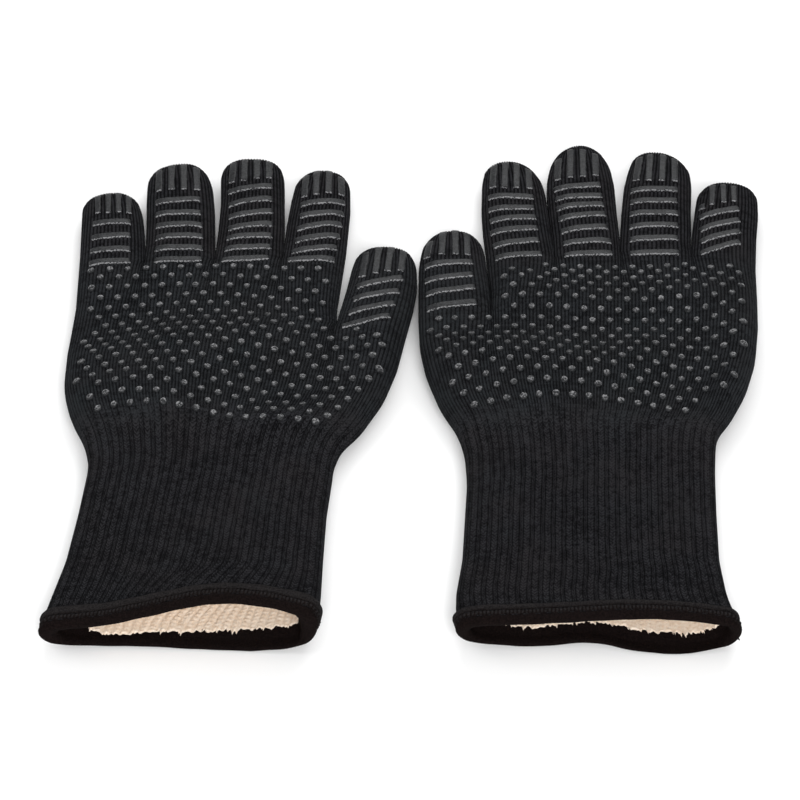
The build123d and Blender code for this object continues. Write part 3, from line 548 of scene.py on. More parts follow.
            bl = (1 - u) * (1 - t) * lo + u * (1 - t) * hi + (1 - u) * t * top_row[0] + u * t * top_row[-1]
            g3[j] = (1 - t) * base + t * top_row + (1 - u) * dl[j] + u * dr[j] - bl
        sheet_pair(
            cloth, d, glove, g3, None, first=(row_a[cut], row_b[cut]), closed_end=True,
            wale0=0, run0=(y0 - MOUTH_Y if d == "thumb" else float(cloth.patches["palm"]["run"][-1])),
        )
    co = np.vstack(cloth.co)
    return cloth, co


def quads_of(grid, flip):
    q = np.stack([grid[:-1, :-1], grid[:-1, 1:], grid[1:, 1:], grid[1:, :-1]], -1)
    return q[..., ::-1] if flip else q


def point_normals(co, quads):
    a, b, c, d = (co[quads[:, k]] for k in range(4))
    fn = np.cross(c - a, d - b)
    n = np.zeros_like(co)
    for k in range(4):
        for ax in range(3):
            n[:, ax] += np.bincount(quads[:, k], fn[:, ax], len(co))
    return n / np.maximum(np.linalg.norm(n, axis=1), 1e-12)[:, None]


def to_frame(co):
    return np.c_[(co[:, 0] - CENTRE[0]), (co[:, 1] - CENTRE[1]), co[:, 2]] * 0.001


def new_mesh(name, co, faces, uv=None, normals=None, material=None, point_value=None):
    """A mesh object from points in layout mm and a list of face arrays."""
    me = bpy.data.meshes.new(name)
    me.vertices.add(len(co))
    me.vertices.foreach_set("co", to_frame(co).astype(np.float32).ravel())
    loops = np.concatenate([f.ravel() for f in faces]).astype(np.int32)
    sizes = np.concatenate([np.full(len(f), f.shape[1], np.int32) for f in faces])
    me.loops.add(len(loops))
    me.loops.foreach_set("vertex_index", loops)
    me.polygons.add(len(sizes))
    me.polygons.foreach_set("loop_start", np.r_[0, np.cumsum(sizes)[:-1]].astype(np.int32))
    me.update(calc_edges=True)
    me.polygons.foreach_set("use_smooth", np.ones(len(sizes), bool))
    if uv is not None:
        layer = me.uv_layers.new(name="knit")
        layer.data.foreach_set("uv", np.concatenate([u.reshape(-1, 2) for u in uv]).astype(np.float32).ravel())
    if point_value is not None:
        att = me.attributes.new("kind", "FLOAT", "POINT")
        att.data.foreach_set("value", point_value.astype(np.float32))
    me.validate()
    if normals is not None:
        me.normals_split_custom_set_from_vertices(normals.astype(np.float32).tolist())
    ob = bpy.data.objects.new(name, me)
    bpy.context.scene.collection.objects.link(ob)
    if material:
        me.materials.append(material)
    return ob


def cut_out(co, quads, uv, normals):
    """Only the points that these quads use."""
    used, back = np.unique(quads.ravel(), return_inverse=True)
    return co[used], back.reshape(quads.shape), uv, normals[used]


# ----------------------------------------------------------------- materials
def nodes_of(name):
    mat = bpy.data.materials.new(name)
    mat.use_nodes = True
    nt = mat.node_tree
    bsdf = nt.nodes["Principled BSDF"]
    return mat, nt, bsdf


class Graph:
    """Short names for making shader nodes."""

    def __init__(self, nt):
        self.nt = nt

    def node(self, kind, **props):
        n = self.nt.nodes.new(kind)
        for k, v in props.items():
            setattr(n, k, v)
        return n

    def link(self, a, b):
        self.nt.links.new(a, b)

    def math(self, op, a, b=None, clamp=False):
        n = self.node("ShaderNodeMath", operation=op, use_clamp=clamp)
        for i, v in enumerate((a, b)):
            if v is None:
                continue
            if isinstance(v, (int, float)):
                n.inputs[i].default_value = v
            else:
                self.link(v, n.inputs[i])
        return n.outputs[0]

    def ramp(self, x, lo, hi, out_lo=0.0, out_hi=1.0, kind="SMOOTHSTEP"):
        n = self.node("ShaderNodeMapRange", interpolation_type=kind)
        n.inputs["From Min"].default_value = lo
        n.inputs["From Max"].default_value = hi
        n.inputs["To Min"].default_value = out_lo
        n.inputs["To Max"].default_value = out_hi
        self.link(x, n.inputs["Value"])
        return n.outputs["Result"]

    def noise(self, coord, scale, detail=3.0, rough=0.55):
        n = self.node("ShaderNodeTexNoise")
        n.inputs["Scale"].default_value = scale
        n.inputs["Detail"].default_value = detail
        n.inputs["Roughness"].default_value = rough
        self.link(coord, n.inputs["Vector"])
        return n.outputs["Fac"]

    def mix(self, fac, a, b):
        n = self.node("ShaderNodeMix", data_type="RGBA")
        self.link(fac, n.inputs["Factor"])
        for key, v in (("A", a), ("B", b)):
            sock = [s for s in n.inputs if s.name == key and s.type == "RGBA"][0]
            if isinstance(v, tuple):
                sock.default_value = (*v, 1.0)
            else:
                self.link(v, sock)
        return [s for s in n.outputs if s.type == "RGBA"][0]


def knit_material(name, dark, light, warm):
    """Stocking stitch on the hand, ribs of wide stitches on the cuff. The mesh's
    knit coordinates count wales across and stitches along."""
    mat, nt, bsdf = nodes_of(name)
    G = Graph(nt)
    uv = G.node("ShaderNodeUVMap", uv_map="knit").outputs["UV"]
    sep = G.node("ShaderNodeSeparateXYZ")
    G.link(uv, sep.inputs[0])
    u, v = sep.outputs[0], sep.outputs[1]
    cuff = G.node("ShaderNodeAttribute", attribute_name="kind").outputs["Fac"]
    obj = G.node("ShaderNodeTexCoord").outputs["Object"]
    # How far from the middle of a column of stitches: 0 in it, 1 at its sides.
    a_hand = G.math("MULTIPLY", G.math("ABSOLUTE", G.math("SUBTRACT", G.math("FRACT", u), 0.5)), 2.0)
    wander = G.math("MULTIPLY", G.math("SUBTRACT", G.noise(obj, 75.0, 2.0), 0.5), 0.9)
    across = G.math("ABSOLUTE", G.math("SUBTRACT", G.math("FRACT", G.math("MULTIPLY", G.math("ADD", u, wander), 0.25)), 0.5))
    across = G.math("MULTIPLY", across, 4.0)
    a_cuff = G.math("MINIMUM", G.math("DIVIDE", across, 1.3), G.math("DIVIDE", G.math("SUBTRACT", 2.0, across), 0.7))
    a = G.math("ADD", G.math("MULTIPLY", a_hand, G.math("SUBTRACT", 1.0, cuff)), G.math("MULTIPLY", a_cuff, cuff))
    # every stitch takes the light a little differently
    cell = G.node("ShaderNodeCombineXYZ")
    G.link(G.math("FLOOR", G.math("MULTIPLY", u, 0.5)), cell.inputs[0])
    G.link(G.math("FLOOR", v), cell.inputs[1])
    white = G.node("ShaderNodeTexWhiteNoise", noise_dimensions="2D")
    G.link(cell.outputs[0], white.inputs["Vector"])
    each = G.ramp(white.outputs["Value"], 0.0, 1.0, 0.48, 1.42, "LINEAR")
    jitter = G.math("ADD", G.math("MULTIPLY", G.noise(obj, 110.0, 3.0), 1.4), G.math("MULTIPLY", white.outputs["Value"], 0.35))
    leg = G.math("FRACT", G.math("ADD", G.math("SUBTRACT", G.math("MULTIPLY", v, 0.94), G.math("MULTIPLY", a, 1.05)), jitter))
    leg = G.math("SINE", G.math("MULTIPLY", leg, math.pi))
    seam = G.ramp(a, 0.0, 0.25, 0.75, 1.0)
    # On the stretched fingers the grooves open; on the palm they lie closed.
    place = G.node("ShaderNodeSeparateXYZ")
    G.link(obj, place.inputs[0])
    far = G.ramp(place.outputs[1], 0.06, 0.09)
    closed = G.math("MULTIPLY", G.ramp(a, 0.40, 0.94, 1.03, 0.07), G.math("SUBTRACT", 1.0, far))
    opened = G.math("MULTIPLY", G.ramp(a, 0.32, 0.86, 1.12, 0.0), far)
    side = G.math("ADD", G.math("MULTIPLY", G.math("ADD", closed, opened), G.math("SUBTRACT", 1.0, cuff)), G.math("MULTIPLY", G.ramp(a, 0.58, 0.95, 1.0, 0.06), cuff))
    high = G.math("MULTIPLY", G.math("MULTIPLY", G.math("ADD", G.math("MULTIPLY", G.math("POWER", leg, 1.3), G.math("ADD", 0.45, G.math("MULTIPLY", cuff, 0.48))), G.math("SUBTRACT", 0.55, G.math("MULTIPLY", cuff, 0.46))), seam), side)
    # Painted shade: the sunk columns between the cuff's ribs are painted darker.
    # Painted shade: the cuff is painted darker near the mouth and lighter at the wrist, and its painted groove shade is
    # weaker near the mouth.
    cuff_shade_ramp = G.ramp(place.outputs[1], -0.15, -0.04, 0.0, 1.0, "LINEAR")
    groove = G.math("MULTIPLY", G.ramp(across, 1.0, 1.6, 0.0, 0.26), G.math("ADD", 0.45, G.math("MULTIPLY", cuff_shade_ramp, 0.55)))
    rib = G.math("SUBTRACT", 1.0, G.math("MULTIPLY", groove, cuff))
    rib = G.math("MULTIPLY", rib, each)
    shade = G.math("ADD", -0.17, G.math("MULTIPLY", cuff_shade_ramp, 0.40))
    rib = G.math("MULTIPLY", rib, G.math("ADD", 1.0, G.math("MULTIPLY", shade, cuff)))
    fuzz = G.noise(obj, 1450.0, 4.0, 0.7)
    lift = G.math("ADD", G.math("MULTIPLY", high, 0.8), G.math("MULTIPLY", fuzz, 0.5))
    # Painted shade and light: the colour follows the stitch height, so the grooves between wales and between stitch
    # legs are painted dark and the raised yarn is painted lighter.
    tone = G.math("MULTIPLY", G.math("ADD", G.math("MULTIPLY", high, 0.95), 0.12), G.ramp(G.noise(obj, 52.0, 3.0), 0.3, 0.75, 0.80, 1.22))
    tone = G.math("MULTIPLY", G.math("MULTIPLY", tone, rib), G.ramp(fuzz, 0.3, 0.72, 0.25, 1.8), clamp=True)
    col = G.mix(tone, dark, light)
    tint = G.ramp(G.noise(obj, 40.0, 3.0), 0.35, 0.7, 0.0, 1.0)
    col = G.mix(G.math("MULTIPLY", tint, G.math("MULTIPLY", tone, 0.5)), col, warm)
    cool = G.ramp(G.noise(obj, 31.0, 3.0), 0.5, 0.7, 0.0, 0.22)
    palm = G.math("MULTIPLY", G.math("MULTIPLY", G.math("SUBTRACT", 1.0, far), G.math("SUBTRACT", 1.0, cuff)), 0.34)
    col = G.mix(G.math("MULTIPLY", G.math("ADD", cool, palm), tone), col, (0.0180, 0.0235, 0.0255))
    G.link(col, bsdf.inputs["Base Color"])
    bsdf.inputs["Roughness"].default_value = 0.92
    bsdf.inputs["Specular IOR Level"].default_value = 0.02
    bsdf.inputs["Sheen Weight"].default_value = 0.004
    bsdf.inputs["Sheen Roughness"].default_value = 0.5
    bsdf.inputs["Sheen Tint"].default_value = (0.8, 0.85, 0.95, 1)
    bump = G.node("ShaderNodeBump")
    bump.inputs["Strength"].default_value = 0.9
    bump.inputs["Distance"].default_value = 0.0006
    G.link(lift, bump.inputs["Height"])
    G.link(bump.outputs["Normal"], bsdf.inputs["Normal"])
    return mat


def silicone_material(name):
    """Matt grey print with paler marks: on the bars partly the print's thin run-out edge and partly a painted
    highlight, on the dots a painted highlight.
    """
    mat, nt, bsdf = nodes_of(name)
    G = Graph(nt)
    obj = G.node("ShaderNodeTexCoord").outputs["Object"]
    edge = G.node("ShaderNodeAttribute", attribute_name="kind").outputs["Fac"]
    n = G.noise(obj, 900.0, 4.0, 0.75)
    col = G.mix(G.ramp(n, 0.36, 0.66), (0.0052, 0.0056, 0.0062), (0.0285, 0.0300, 0.0324))
    # Painted highlight: where the mark is set, a noise-broken paler grey is painted in; on the bars it also stands for
    # the print's run-out lip.
    lip_and_highlight = G.ramp(G.math("MULTIPLY", edge, G.ramp(G.noise(obj, 1100.0, 2.0, 0.8), 0.36, 0.62, 0.0, 1.5)), 0.2, 0.85)
    col = G.mix(lip_and_highlight, col, (0.225, 0.225, 0.232))
    G.link(col, bsdf.inputs["Base Color"])
    bsdf.inputs["Roughness"].default_value = 0.45
    bsdf.inputs["Specular IOR Level"].default_value = 0.15
    bump = G.node("ShaderNodeBump")
    bump.inputs["Strength"].default_value = 0.5
    bump.inputs["Distance"].default_value = 0.0003
    G.link(G.noise(obj, 900.0, 3.0), bump.inputs["Height"])
    G.link(bump.outputs["Normal"], bsdf.inputs["Normal"])
    return mat


def cotton_material(name):
    mat, nt, bsdf = nodes_of(name)
    G = Graph(nt)
    obj = G.node("ShaderNodeTexCoord").outputs["Object"]
    n = G.noise(obj, 700.0, 4.0, 0.65)
    col = G.mix(G.ramp(n, 0.3, 0.7), (0.78, 0.615, 0.465), (0.905, 0.79, 0.67))
    G.link(col, bsdf.inputs["Base Color"])
    bsdf.inputs["Roughness"].default_value = 0.95
    bsdf.inputs["Specular IOR Level"].default_value = 0.15
    bsdf.inputs["Sheen Weight"].default_value = 0.2
    bump = G.node("ShaderNodeBump")
    bump.inputs["Strength"].default_value = 0.8
    bump.inputs["Distance"].default_value = 0.0005
    G.link(G.noise(obj, 1500.0, 3.0, 0.7), bump.inputs["Height"])
    G.link(bump.outputs["Normal"], bsdf.inputs["Normal"])
    return mat


def binding_material(name):
    """Grey piping over a brownish black overlock roll."""
    mat, nt, bsdf = nodes_of(name)
    G = Graph(nt)
    obj = G.node("ShaderNodeTexCoord").outputs["Object"]
    kind = G.node("ShaderNodeAttribute", attribute_name="kind").outputs["Fac"]
    n = G.noise(obj, 1500.0, 3.0, 0.7)
    col = G.mix(G.ramp(n, 0.35, 0.7), (0.0024, 0.0014, 0.0013), (0.0088, 0.0055, 0.0051))
    pipe = G.mix(G.ramp(n, 0.3, 0.7), (0.0045, 0.0040, 0.0042), (0.0210, 0.0190, 0.0192))
    col = G.mix(kind, col, pipe)
    G.link(col, bsdf.inputs["Base Color"])
    bsdf.inputs["Roughness"].default_value = 0.85
    bsdf.inputs["Specular IOR Level"].default_value = 0.04
    bump = G.node("ShaderNodeBump")
    bump.inputs["Strength"].default_value = 0.7
    bump.inputs["Distance"].default_value = 0.0004
    G.link(n, bump.inputs["Height"])
    G.link(bump.outputs["Normal"], bsdf.inputs["Normal"])
    return mat


# The knit's dark colour is the painted shade in its grooves; its light colour is the painted light on the raised yarn.
KNIT = knit_material("charcoal_knit", (0.0011, 0.0011, 0.0013), (0.0242, 0.0242, 0.0270), (0.0225, 0.0198, 0.0203))
SILICONE = silicone_material("grey_silicone")
COTTON = cotton_material("cream_cotton")
BINDING = binding_material("black_binding")


# ---------------------------------------------------------------- the pieces
def rib_profile(cols):
    """Height of a wale across its mesh columns, 0 in the groove to 1."""
    return np.array([0.0, 0.78, 1.0, 0.78])[np.arange(cols) % WALE]


def group_profile(cols):
    """The cuff's wales stand in ribs of four: two raised and two sunk."""
    k = (np.arange(cols) % (4 * WALE)) / (4 * WALE)
    return smooth(np.minimum(k, 1 - k) / 0.3)


def displace_ribs(glove, cloth, co, normals):
    amount = np.zeros(len(co))
    for name, patch in cloth.patches.items():
        for key in ("palm", "back"):
            ids = patch[key]
            rows, cols = ids.shape
            fine = rib_profile(cols)[None, :]
            if name == "body":
                y = np.linspace(MOUTH_Y, 0, rows)
                y = co[ids[:, cols // 2], 1]
                c = smooth((-18 - y) / 22)[:, None]
                pair = np.abs(np.sin(np.pi * (np.arange(cols) % (2 * WALE)) / (2 * WALE)))[None, :]
                out = fine * (0.60 - 0.52 * c) + np.roll(pair, WALE, 1) * 0.10 * c + group_profile(cols)[None, :] * 0.62 * c
            else:
                out = np.repeat(fine * 0.60, rows, 0)
            amount[ids] = out
    return co + normals * amount[:, None]


def piece_faces(cloth, name, rows, which=("palm", "back")):
    """Quads and their knit coordinates of some rows of a patch."""
    patch = cloth.patches[name]
    quads, uvs = [], []
    for key in which:
        ids = patch[key][rows]
        run = patch["run"][rows] / COURSE
        cols = ids.shape[1]
        u = np.arange(cols) / WALE
        uv = np.stack(np.meshgrid(u, run), -1)
        uv_q = np.stack([uv[:-1, :-1], uv[:-1, 1:], uv[1:, 1:], uv[1:, :-1]], 2)
        q = quads_of(ids, False)
        if key == "back":
            q, uv_q = q[..., ::-1], uv_q[:, :, ::-1]
        quads.append(q.reshape(-1, 4))
        uvs.append(uv_q.reshape(-1, 4, 2))
    return quads, uvs


def build_piece(name, cloth, co, normals, parts, material=None):
    quads, uvs = [], []
    for patch, rows in parts:
        q, u = piece_faces(cloth, patch, rows)
        quads += q
        uvs += u
    quads, uvs = np.vstack(quads), np.vstack(uvs)
    c, q, _, n = cut_out(co, quads, uvs, normals)
    ob = new_mesh(name, c, [q], [uvs], n, material or KNIT, smooth((-18 - c[:, 1]) / 22))
    return ob


def coarse_faces(ids, flip, step_rows=2, step_cols=4):
    rows = sorted(set(range(0, ids.shape[0], step_rows)) | {ids.shape[0] - 1})
    q = quads_of(ids[rows][:, ::step_cols], flip)
    return q.reshape(-1, 4)


def build_lining(name, cloth, co_in, parts, extra=None):
    quads = []
    for patch, rows in parts:
        p = cloth.patches[patch]
        quads.append(coarse_faces(p["palm"][rows], True))
        quads.append(coarse_faces(p["back"][rows], False))
    q = np.vstack(quads)
    used, back = np.unique(q.ravel(), return_inverse=True)
    co = co_in[used]
    faces = [back.reshape(-1, 4)]
    if extra is not None:
        faces.append(extra[1] + len(co))
        co = np.vstack([co, extra[0]])
    ob = new_mesh(name, co, faces, material=COTTON)
    return ob


def mouth_loop(cloth, co, normals, rows, count):
    """The cuff's rows as closed loops of count points, evenly spaced along the
    mouth: positions and outward normals, rows x count x 3."""
    p = cloth.patches["body"]
    ids = np.hstack([p["palm"][:rows], p["back"][:rows, -2:0:-1]])
    ring = co[ids[0]]
    closed = np.vstack([ring, ring[:1]])
    run = np.r_[0, np.cumsum(np.linalg.norm(np.diff(closed, axis=0), axis=1))]
    MOUTH_SPLIT[0] = run[p["palm"].shape[1] - 1]
    t = np.interp(np.linspace(0, run[-1], count + 1)[:-1], run, np.arange(len(run)))
    i0 = np.floor(t).astype(int) % ids.shape[1]
    i1 = (i0 + 1) % ids.shape[1]
    w = (t - np.floor(t))[None, :, None]
    pos = co[ids[:, i0]] * (1 - w) + co[ids[:, i1]] * w
    nor = normals[ids[:, i0]] * (1 - w) + normals[ids[:, i1]] * w
    nor /= np.linalg.norm(nor, axis=2)[..., None]
    return pos, nor, np.linspace(0, run[-1], count + 1)[:-1], run[-1]


def fold_room(cloth, s, total):
    """Less depth near the two side folds, where the inner faces meet."""
    cols = cloth.patches["body"]["palm"].shape[1]
    far = MOUTH_SPLIT[0]
    near = np.minimum(np.minimum(s, total - s), np.abs(s - far))
    return 0.42 + 0.58 * smooth(near / 11.0)


MOUTH_SPLIT = [0.0]


def fold_inset(side, s, total):
    """How far the mouth's inner face stands in from each side fold."""
    first = np.minimum(s, total - s)
    last = np.abs(s - MOUTH_SPLIT[0])
    a, b = GLOVES[side]["mouth_inset"]
    return a * (1 - smooth(first / 20)) - b * (1 - smooth(last / 20))


def build_binding(side, cloth, co, normals):
    """A rolled, overlocked band round the mouth, with a black hem inside."""
    count = 1600
    pos, nor, s, total = mouth_loop(cloth, co, normals, 14, count)
    m = pos[0] - pos[3]
    m /= np.linalg.norm(m, axis=1)[:, None]
    n = nor[0] - (nor[0] * m).sum(1)[:, None] * m
    n /= np.linalg.norm(n, axis=1)[:, None]
    # outward, towards the mouth, how much chain shows, how grey it is
    share = np.where(s <= MOUTH_SPLIT[0], s / MOUTH_SPLIT[0], (total - s) / (total - MOUTH_SPLIT[0]))
    roll = curve_at(GLOVES[side]["mouth_roll"], share)
    back = -8.0 if side == "right" else -6.4
    section = [
        (0.00, back, 0, 1), (0.9, back + 0.2, 0, 1), (1.7, back + 0.8, 0, 1), (2.1, back * 0.6 - 1.2, 0, 1), (2.1, back * 0.3 - 2.3, 0, 1), (1.7, -3.8, 0, 1), (0.3, -3.1, 0, 0),
        (0.6, -2.75, 0.8, 0.35), (1.3, -2.2, 1, 0.45), (1.6, -1.5, 1, 0.45), (1.3, -0.8, 1, 0.35), (0.5, -0.2, 0.2, 0), (0.8, 0.4, 0.3, 0), (1.0, 1.0, 0.3, 0), (1.0, 1.7, 0.3, 0),
        (0.7, 2.5, 0.3, 0), (0.0, 3.1, 0.3, 0), (-0.9, 3.5, 0.3, 0), (-1.8, 3.4, 0.3, 0), (-2.8, 2.9, 0.3, 0), (-3.5, 2.1, 0.3, 0), (-4.5, 0.9, 0.3, 0),
        (-4.5, -0.8, 0.2, 0), (-3.7, -2.6, 0.2, 0), (-3.5, -5.0, 0.1, 0), (-3.5, -8.0, 0.1, 0), (-3.5, -12.0, 0.1, 0), (-3.5, -15.0, 0.0, 0),
    ]
    seams = round(total / 1.65)
    phase = 2 * math.pi * seams * s / total
    wob = 1 + 0.35 * np.interp(s, np.linspace(0, total, 90), rng.uniform(-1, 1, 90))
    fold = fold_room(cloth, s, total)
    pull = fold_inset(side, s, total)
    upper = 0.45 + 0.55 * smooth((n[:, 2] + 0.4) / 0.8)
    rows = []
    grey = []
    for out, fwd, chain, pipe in section:
        tooth = np.abs(np.sin((phase + fwd * 0.7) / 2)) ** 0.7 - 0.6
        o = out + chain * 0.42 * tooth * wob + 0.12 * np.sin(phase / 9.3 + fwd)
        grey.append(np.clip(pipe + (2.2 * tooth if chain > 0.7 else 0), 0, 1) * np.ones(count))
        if out < 0:
            if fwd > -3:
                o = np.maximum(o, -roll) * upper
            o = o * fold
        if fwd > -3:
            base, nn, mm = pos[0], n, m
            p = base + nn * o[:, None] + mm * fwd
        else:
            k = min(-fwd / 1.45, pos.shape[0] - 1.001)
            j, w = int(k), k - int(k)
            base = pos[j] * (1 - w) + pos[j + 1] * w
            nn = nor[j] * (1 - w) + nor[j + 1] * w
            p = base + nn * o[:, None]
        p[:, 0] += pull * np.clip(-out / 4.0, 0, 1) * smooth(1.2 + fwd / 40)
        p[:, 2] = np.maximum(p[:, 2], 0.1)
        rows.append(p)
    grid = np.arange(len(section) * count).reshape(len(section), count)
    closed = np.hstack([grid, grid[:, :1]])
    q = quads_of(closed, True).reshape(-1, 4)
    if side == "left":
        # a knotted yarn end sticks out of the outer corner
        k = int(np.argmax(rows[13][:, 0] - 0.55 * rows[13][:, 2]))
        root = rows[13][k] - (1.6, 0, 0)
        ring = np.linspace(0, 2 * math.pi, 9)[:-1]
        first = len(section) * count
        stops = [(0.0, 0.8), (0.8, 1.1), (1.5, 1.0), (2.1, 0.6), (2.7, 0.6), (3.2, 0.1)]
        for along_mm, r in stops:
            mid = root + np.array((0.62, -0.70, -0.20)) * along_mm
            knot = mid + np.c_[0.45 * r * np.cos(ring), -0.85 * r * np.cos(ring), r * np.sin(ring)]
            knot[:, 2] = np.maximum(knot[:, 2], 0.15)
            rows.append(knot)
            grey.append(np.full(8, 0.2))
        loop = first + np.arange(len(stops) * 8).reshape(-1, 8)
        q = np.vstack([q, quads_of(np.hstack([loop, loop[:, :1]]), False).reshape(-1, 4)])
    ob = new_mesh(f"{side}_cuff_binding_band", np.vstack(rows), [q], material=BINDING, point_value=np.concatenate(grey))
    return ob


def mouth_lining(side, cloth, co, normals):
    """The lining's waffle face near the mouth, with its raw cut edge."""
    count, deep = 840, 44
    pos, nor, s, total = mouth_loop(cloth, co, normals, deep + 2, count)
    jag = np.interp(s, np.linspace(0, total, 90), rng.uniform(-0.6, 0.6, 90))
    jag += np.interp(s, np.linspace(0, total, 280), rng.uniform(-0.8, 0.8, 280))
    # loose yarn ends hang over the black hem
    hair = np.where(rng.random(300) < 0.16, rng.uniform(0.5, 2.0, 300), 0)
    jag -= np.interp(s, np.linspace(0, total, 599), np.c_[hair, np.zeros(300)].ravel()[:599])
    share = np.where(s <= MOUTH_SPLIT[0], s / MOUTH_SPLIT[0], (total - s) / (total - MOUTH_SPLIT[0]))
    start = np.maximum(0.3, curve_at(GLOVES[side]["lining_edge"], share) / 1.45 + 0.8 * jag)
    fold = fold_room(cloth, s, total)
    pull = fold_inset(side, s, total)
    rows = 96
    pts = []
    for r in range(rows + 1):
        w = max(0, r - 2) / (rows - 2)
        jf = start + (deep - start) * w
        j = np.floor(jf).astype(int)
        f = (jf - j)[:, None]
        idx = np.arange(count)
        base = pos[j, idx] * (1 - f) + pos[j + 1, idx] * f
        nn = nor[j, idx] * (1 - f) + nor[j + 1, idx] * f
        depth = jf * 1.45
        # soft columns about 4 mm wide with a small ripple along them
        valley = np.abs(np.cos(math.pi * (s + 0.8 * np.sin(depth / 7)) / 3.9)) ** 4
        out = 4.5 - 0.34 * valley + 0.20 * np.cos(2 * math.pi * depth / 2.2 + 1.6 * np.sin(s / 3.9 * math.pi)) * (1 - valley) + 0.09 * rng.uniform(-1, 1, count)
        if r == 0:
            out = np.full(count, 3.3)
        elif r == 1:
            out = np.full(count, 4.1) + 0.3 * rng.uniform(-1, 1, count)
        p = base - nn * (out * fold)[:, None]
        p[:, 0] += pull * smooth(1.2 - depth / 40)
        pts.append(p)
    grid = np.arange((rows + 1) * count).reshape(rows + 1, count)
    closed = np.hstack([grid, grid[:, :1]])
    return np.vstack(pts), quads_of(closed, True).reshape(-1, 4), deep


def strip_stations(glove, a, b, count):
    """Points along a line on the palm, evenly spaced over the cloth."""
    t = np.linspace(0, 1, 160)[:, None]
    line = np.array(a) * (1 - t) + np.array(b) * t
    z = glove.heights(line)[0]
    run = np.r_[0, np.cumsum(np.linalg.norm(np.diff(np.c_[line, z], axis=0), axis=1))]
    at = np.interp(np.linspace(0, run[-1], count), run, np.linspace(0, 1, 160))[:, None]
    return np.array(a) * (1 - at) + np.array(b) * at, run[-1]


def bar_points(glove, a, b, half, high, seed):
    """One raised silicone bar over the cloth: rings of points and faces."""
    r = np.random.default_rng(seed)
    rough = strip_stations(glove, a, b, 30)[1]
    count = max(12, int(rough / 0.75))
    line, length = strip_stations(glove, a, b, count)
    d = np.array(b) - np.array(a)
    d = d / math.hypot(*d)
    side = np.array([-d[1], d[0]])
    s = np.linspace(0, length, count)
    end = np.minimum(s, length - s)
    half_here = half * (0.9 + 0.1 * np.clip(end / 0.5, 0, 1))
    wave = np.interp(s, np.linspace(0, length, 12), r.uniform(-1, 1, 12))
    wave2 = np.interp(s, np.linspace(0, length, 14), r.uniform(-1, 1, 14))
    torn = r.uniform(-1, 1, count)
    # the print's near edge runs out over the yarn in a thin ragged lip
    across = np.array([-1.13, -1.02, -0.86, -0.70, -0.35, 0.0, 0.35, 0.70, 0.92, 1.0, 1.02])
    rise = np.array([-0.8, 0.25, 0.80, 1.0, 0.95, 0.97, 0.95, 1.0, 0.85, 0.2, -0.8])
    # Painted highlight: a cross bar's near edge is painted paler, partly as the print's thin run-out lip and partly as
    # the front light's highlight; its far edge gets a weaker painted highlight.
    pale_lip_and_highlight = np.array([0.8, 1.0, 0.9, 0.2, 0.0, 0.0, 0.0, 0.05, 0.3, 0.3, 0.2]) * (1.0 if abs(d[0]) > 0.5 else 0.2)
    pts = []
    for k in range(count):
        off = across * half_here[k] + np.where(across < 0, wave[k] + 0.6 * torn[k], 0.5 * wave2[k]) * 0.20 * np.abs(across)
        xy = line[k] + off[:, None] * side
        pts.append(xy)
    xy = np.vstack(pts)
    p, n = glove.point(xy)
    ends = 0.55 + 0.45 * np.clip(end / 0.35, 0, 1)
    lift = (0.45 + high * rise[None, :] * np.where(rise[None, :] > 0, ends[:, None], 1)).ravel()
    lift += 0.05 * r.uniform(-1, 1, len(lift))
    p = p + n * lift[:, None]
    m = len(across)
    grid = np.arange(count * m).reshape(count, m)
    quads = quads_of(grid, False).reshape(-1, 4)
    under = np.stack([grid[:-1, 0], grid[1:, 0], grid[1:, -1], grid[:-1, -1]], -1)
    quads = np.vstack([quads, under])
    caps = np.stack([grid[0][::-1], grid[-1]])
    tone = np.tile(pale_lip_and_highlight, count)
    # Painted highlight: a tip bar's low end, facing the front light, is painted paler too, partly as a run-out end and
    # partly as a highlight.
    if abs(d[0]) <= 0.5:
        tone = np.maximum(tone, np.repeat(np.clip(1.0 - s / 0.9, 0, 1), m))
    return p, quads, caps, tone


def join_parts(parts):
    co, quads, caps, tone, base = [], [], [], [], 0
    for p, q, c, t in parts:
        tone.append(t)
        co.append(p)
        quads.append(q + base)
        if c is not None:
            caps.append(c + base)
        base += len(p)
    faces = [np.vstack(quads)]
    if caps:
        faces.append(np.vstack(caps))
    return np.vstack(co), faces, np.concatenate(tone)


def fix_winding(ob):
    import bmesh

    bm = bmesh.new()
    bm.from_mesh(ob.data)
    bmesh.ops.recalc_face_normals(bm, faces=bm.faces)
    bm.to_mesh(ob.data)
    bm.free()


def dot_centres(glove):
    """Staggered rows of dots, following the cloth's wrinkles."""
    g = glove.g
    nodes = np.array([(a, b) for b, first, last in g["dot_rows"] for a in range(first, last + 1)], float)
    a, b = (nodes[:, 0] - 2) / 10, (nodes[:, 1] - 1) / 8
    terms = np.stack([a**i * b**j for i in range(6) for j in range(6 - i)], 1)
    out = terms @ np.array(g["dot_run"]) + rng.uniform(-0.25, 0.25, (len(nodes), 2))
    d = glove.edge_distance(out)
    keep = d > 4.5
    for bars, _ in g["bars"].values():
        for x0, y0, x1, y1 in bars[-2:]:
            p, ab = np.array([x0, y0]), np.array([x1 - x0, y1 - y0])
            t = np.clip(((out - p) @ ab) / (ab @ ab), 0, 1)
            gap = np.linalg.norm(out - p - t[:, None] * ab, axis=1)
            keep &= gap > 3.9
    # no two dots may touch
    for i in range(len(out)):
        if keep[i]:
            near = np.linalg.norm(out - out[i], axis=1) < 3.6
            near[: i + 1] = False
            keep[near] = False
    return out[keep]


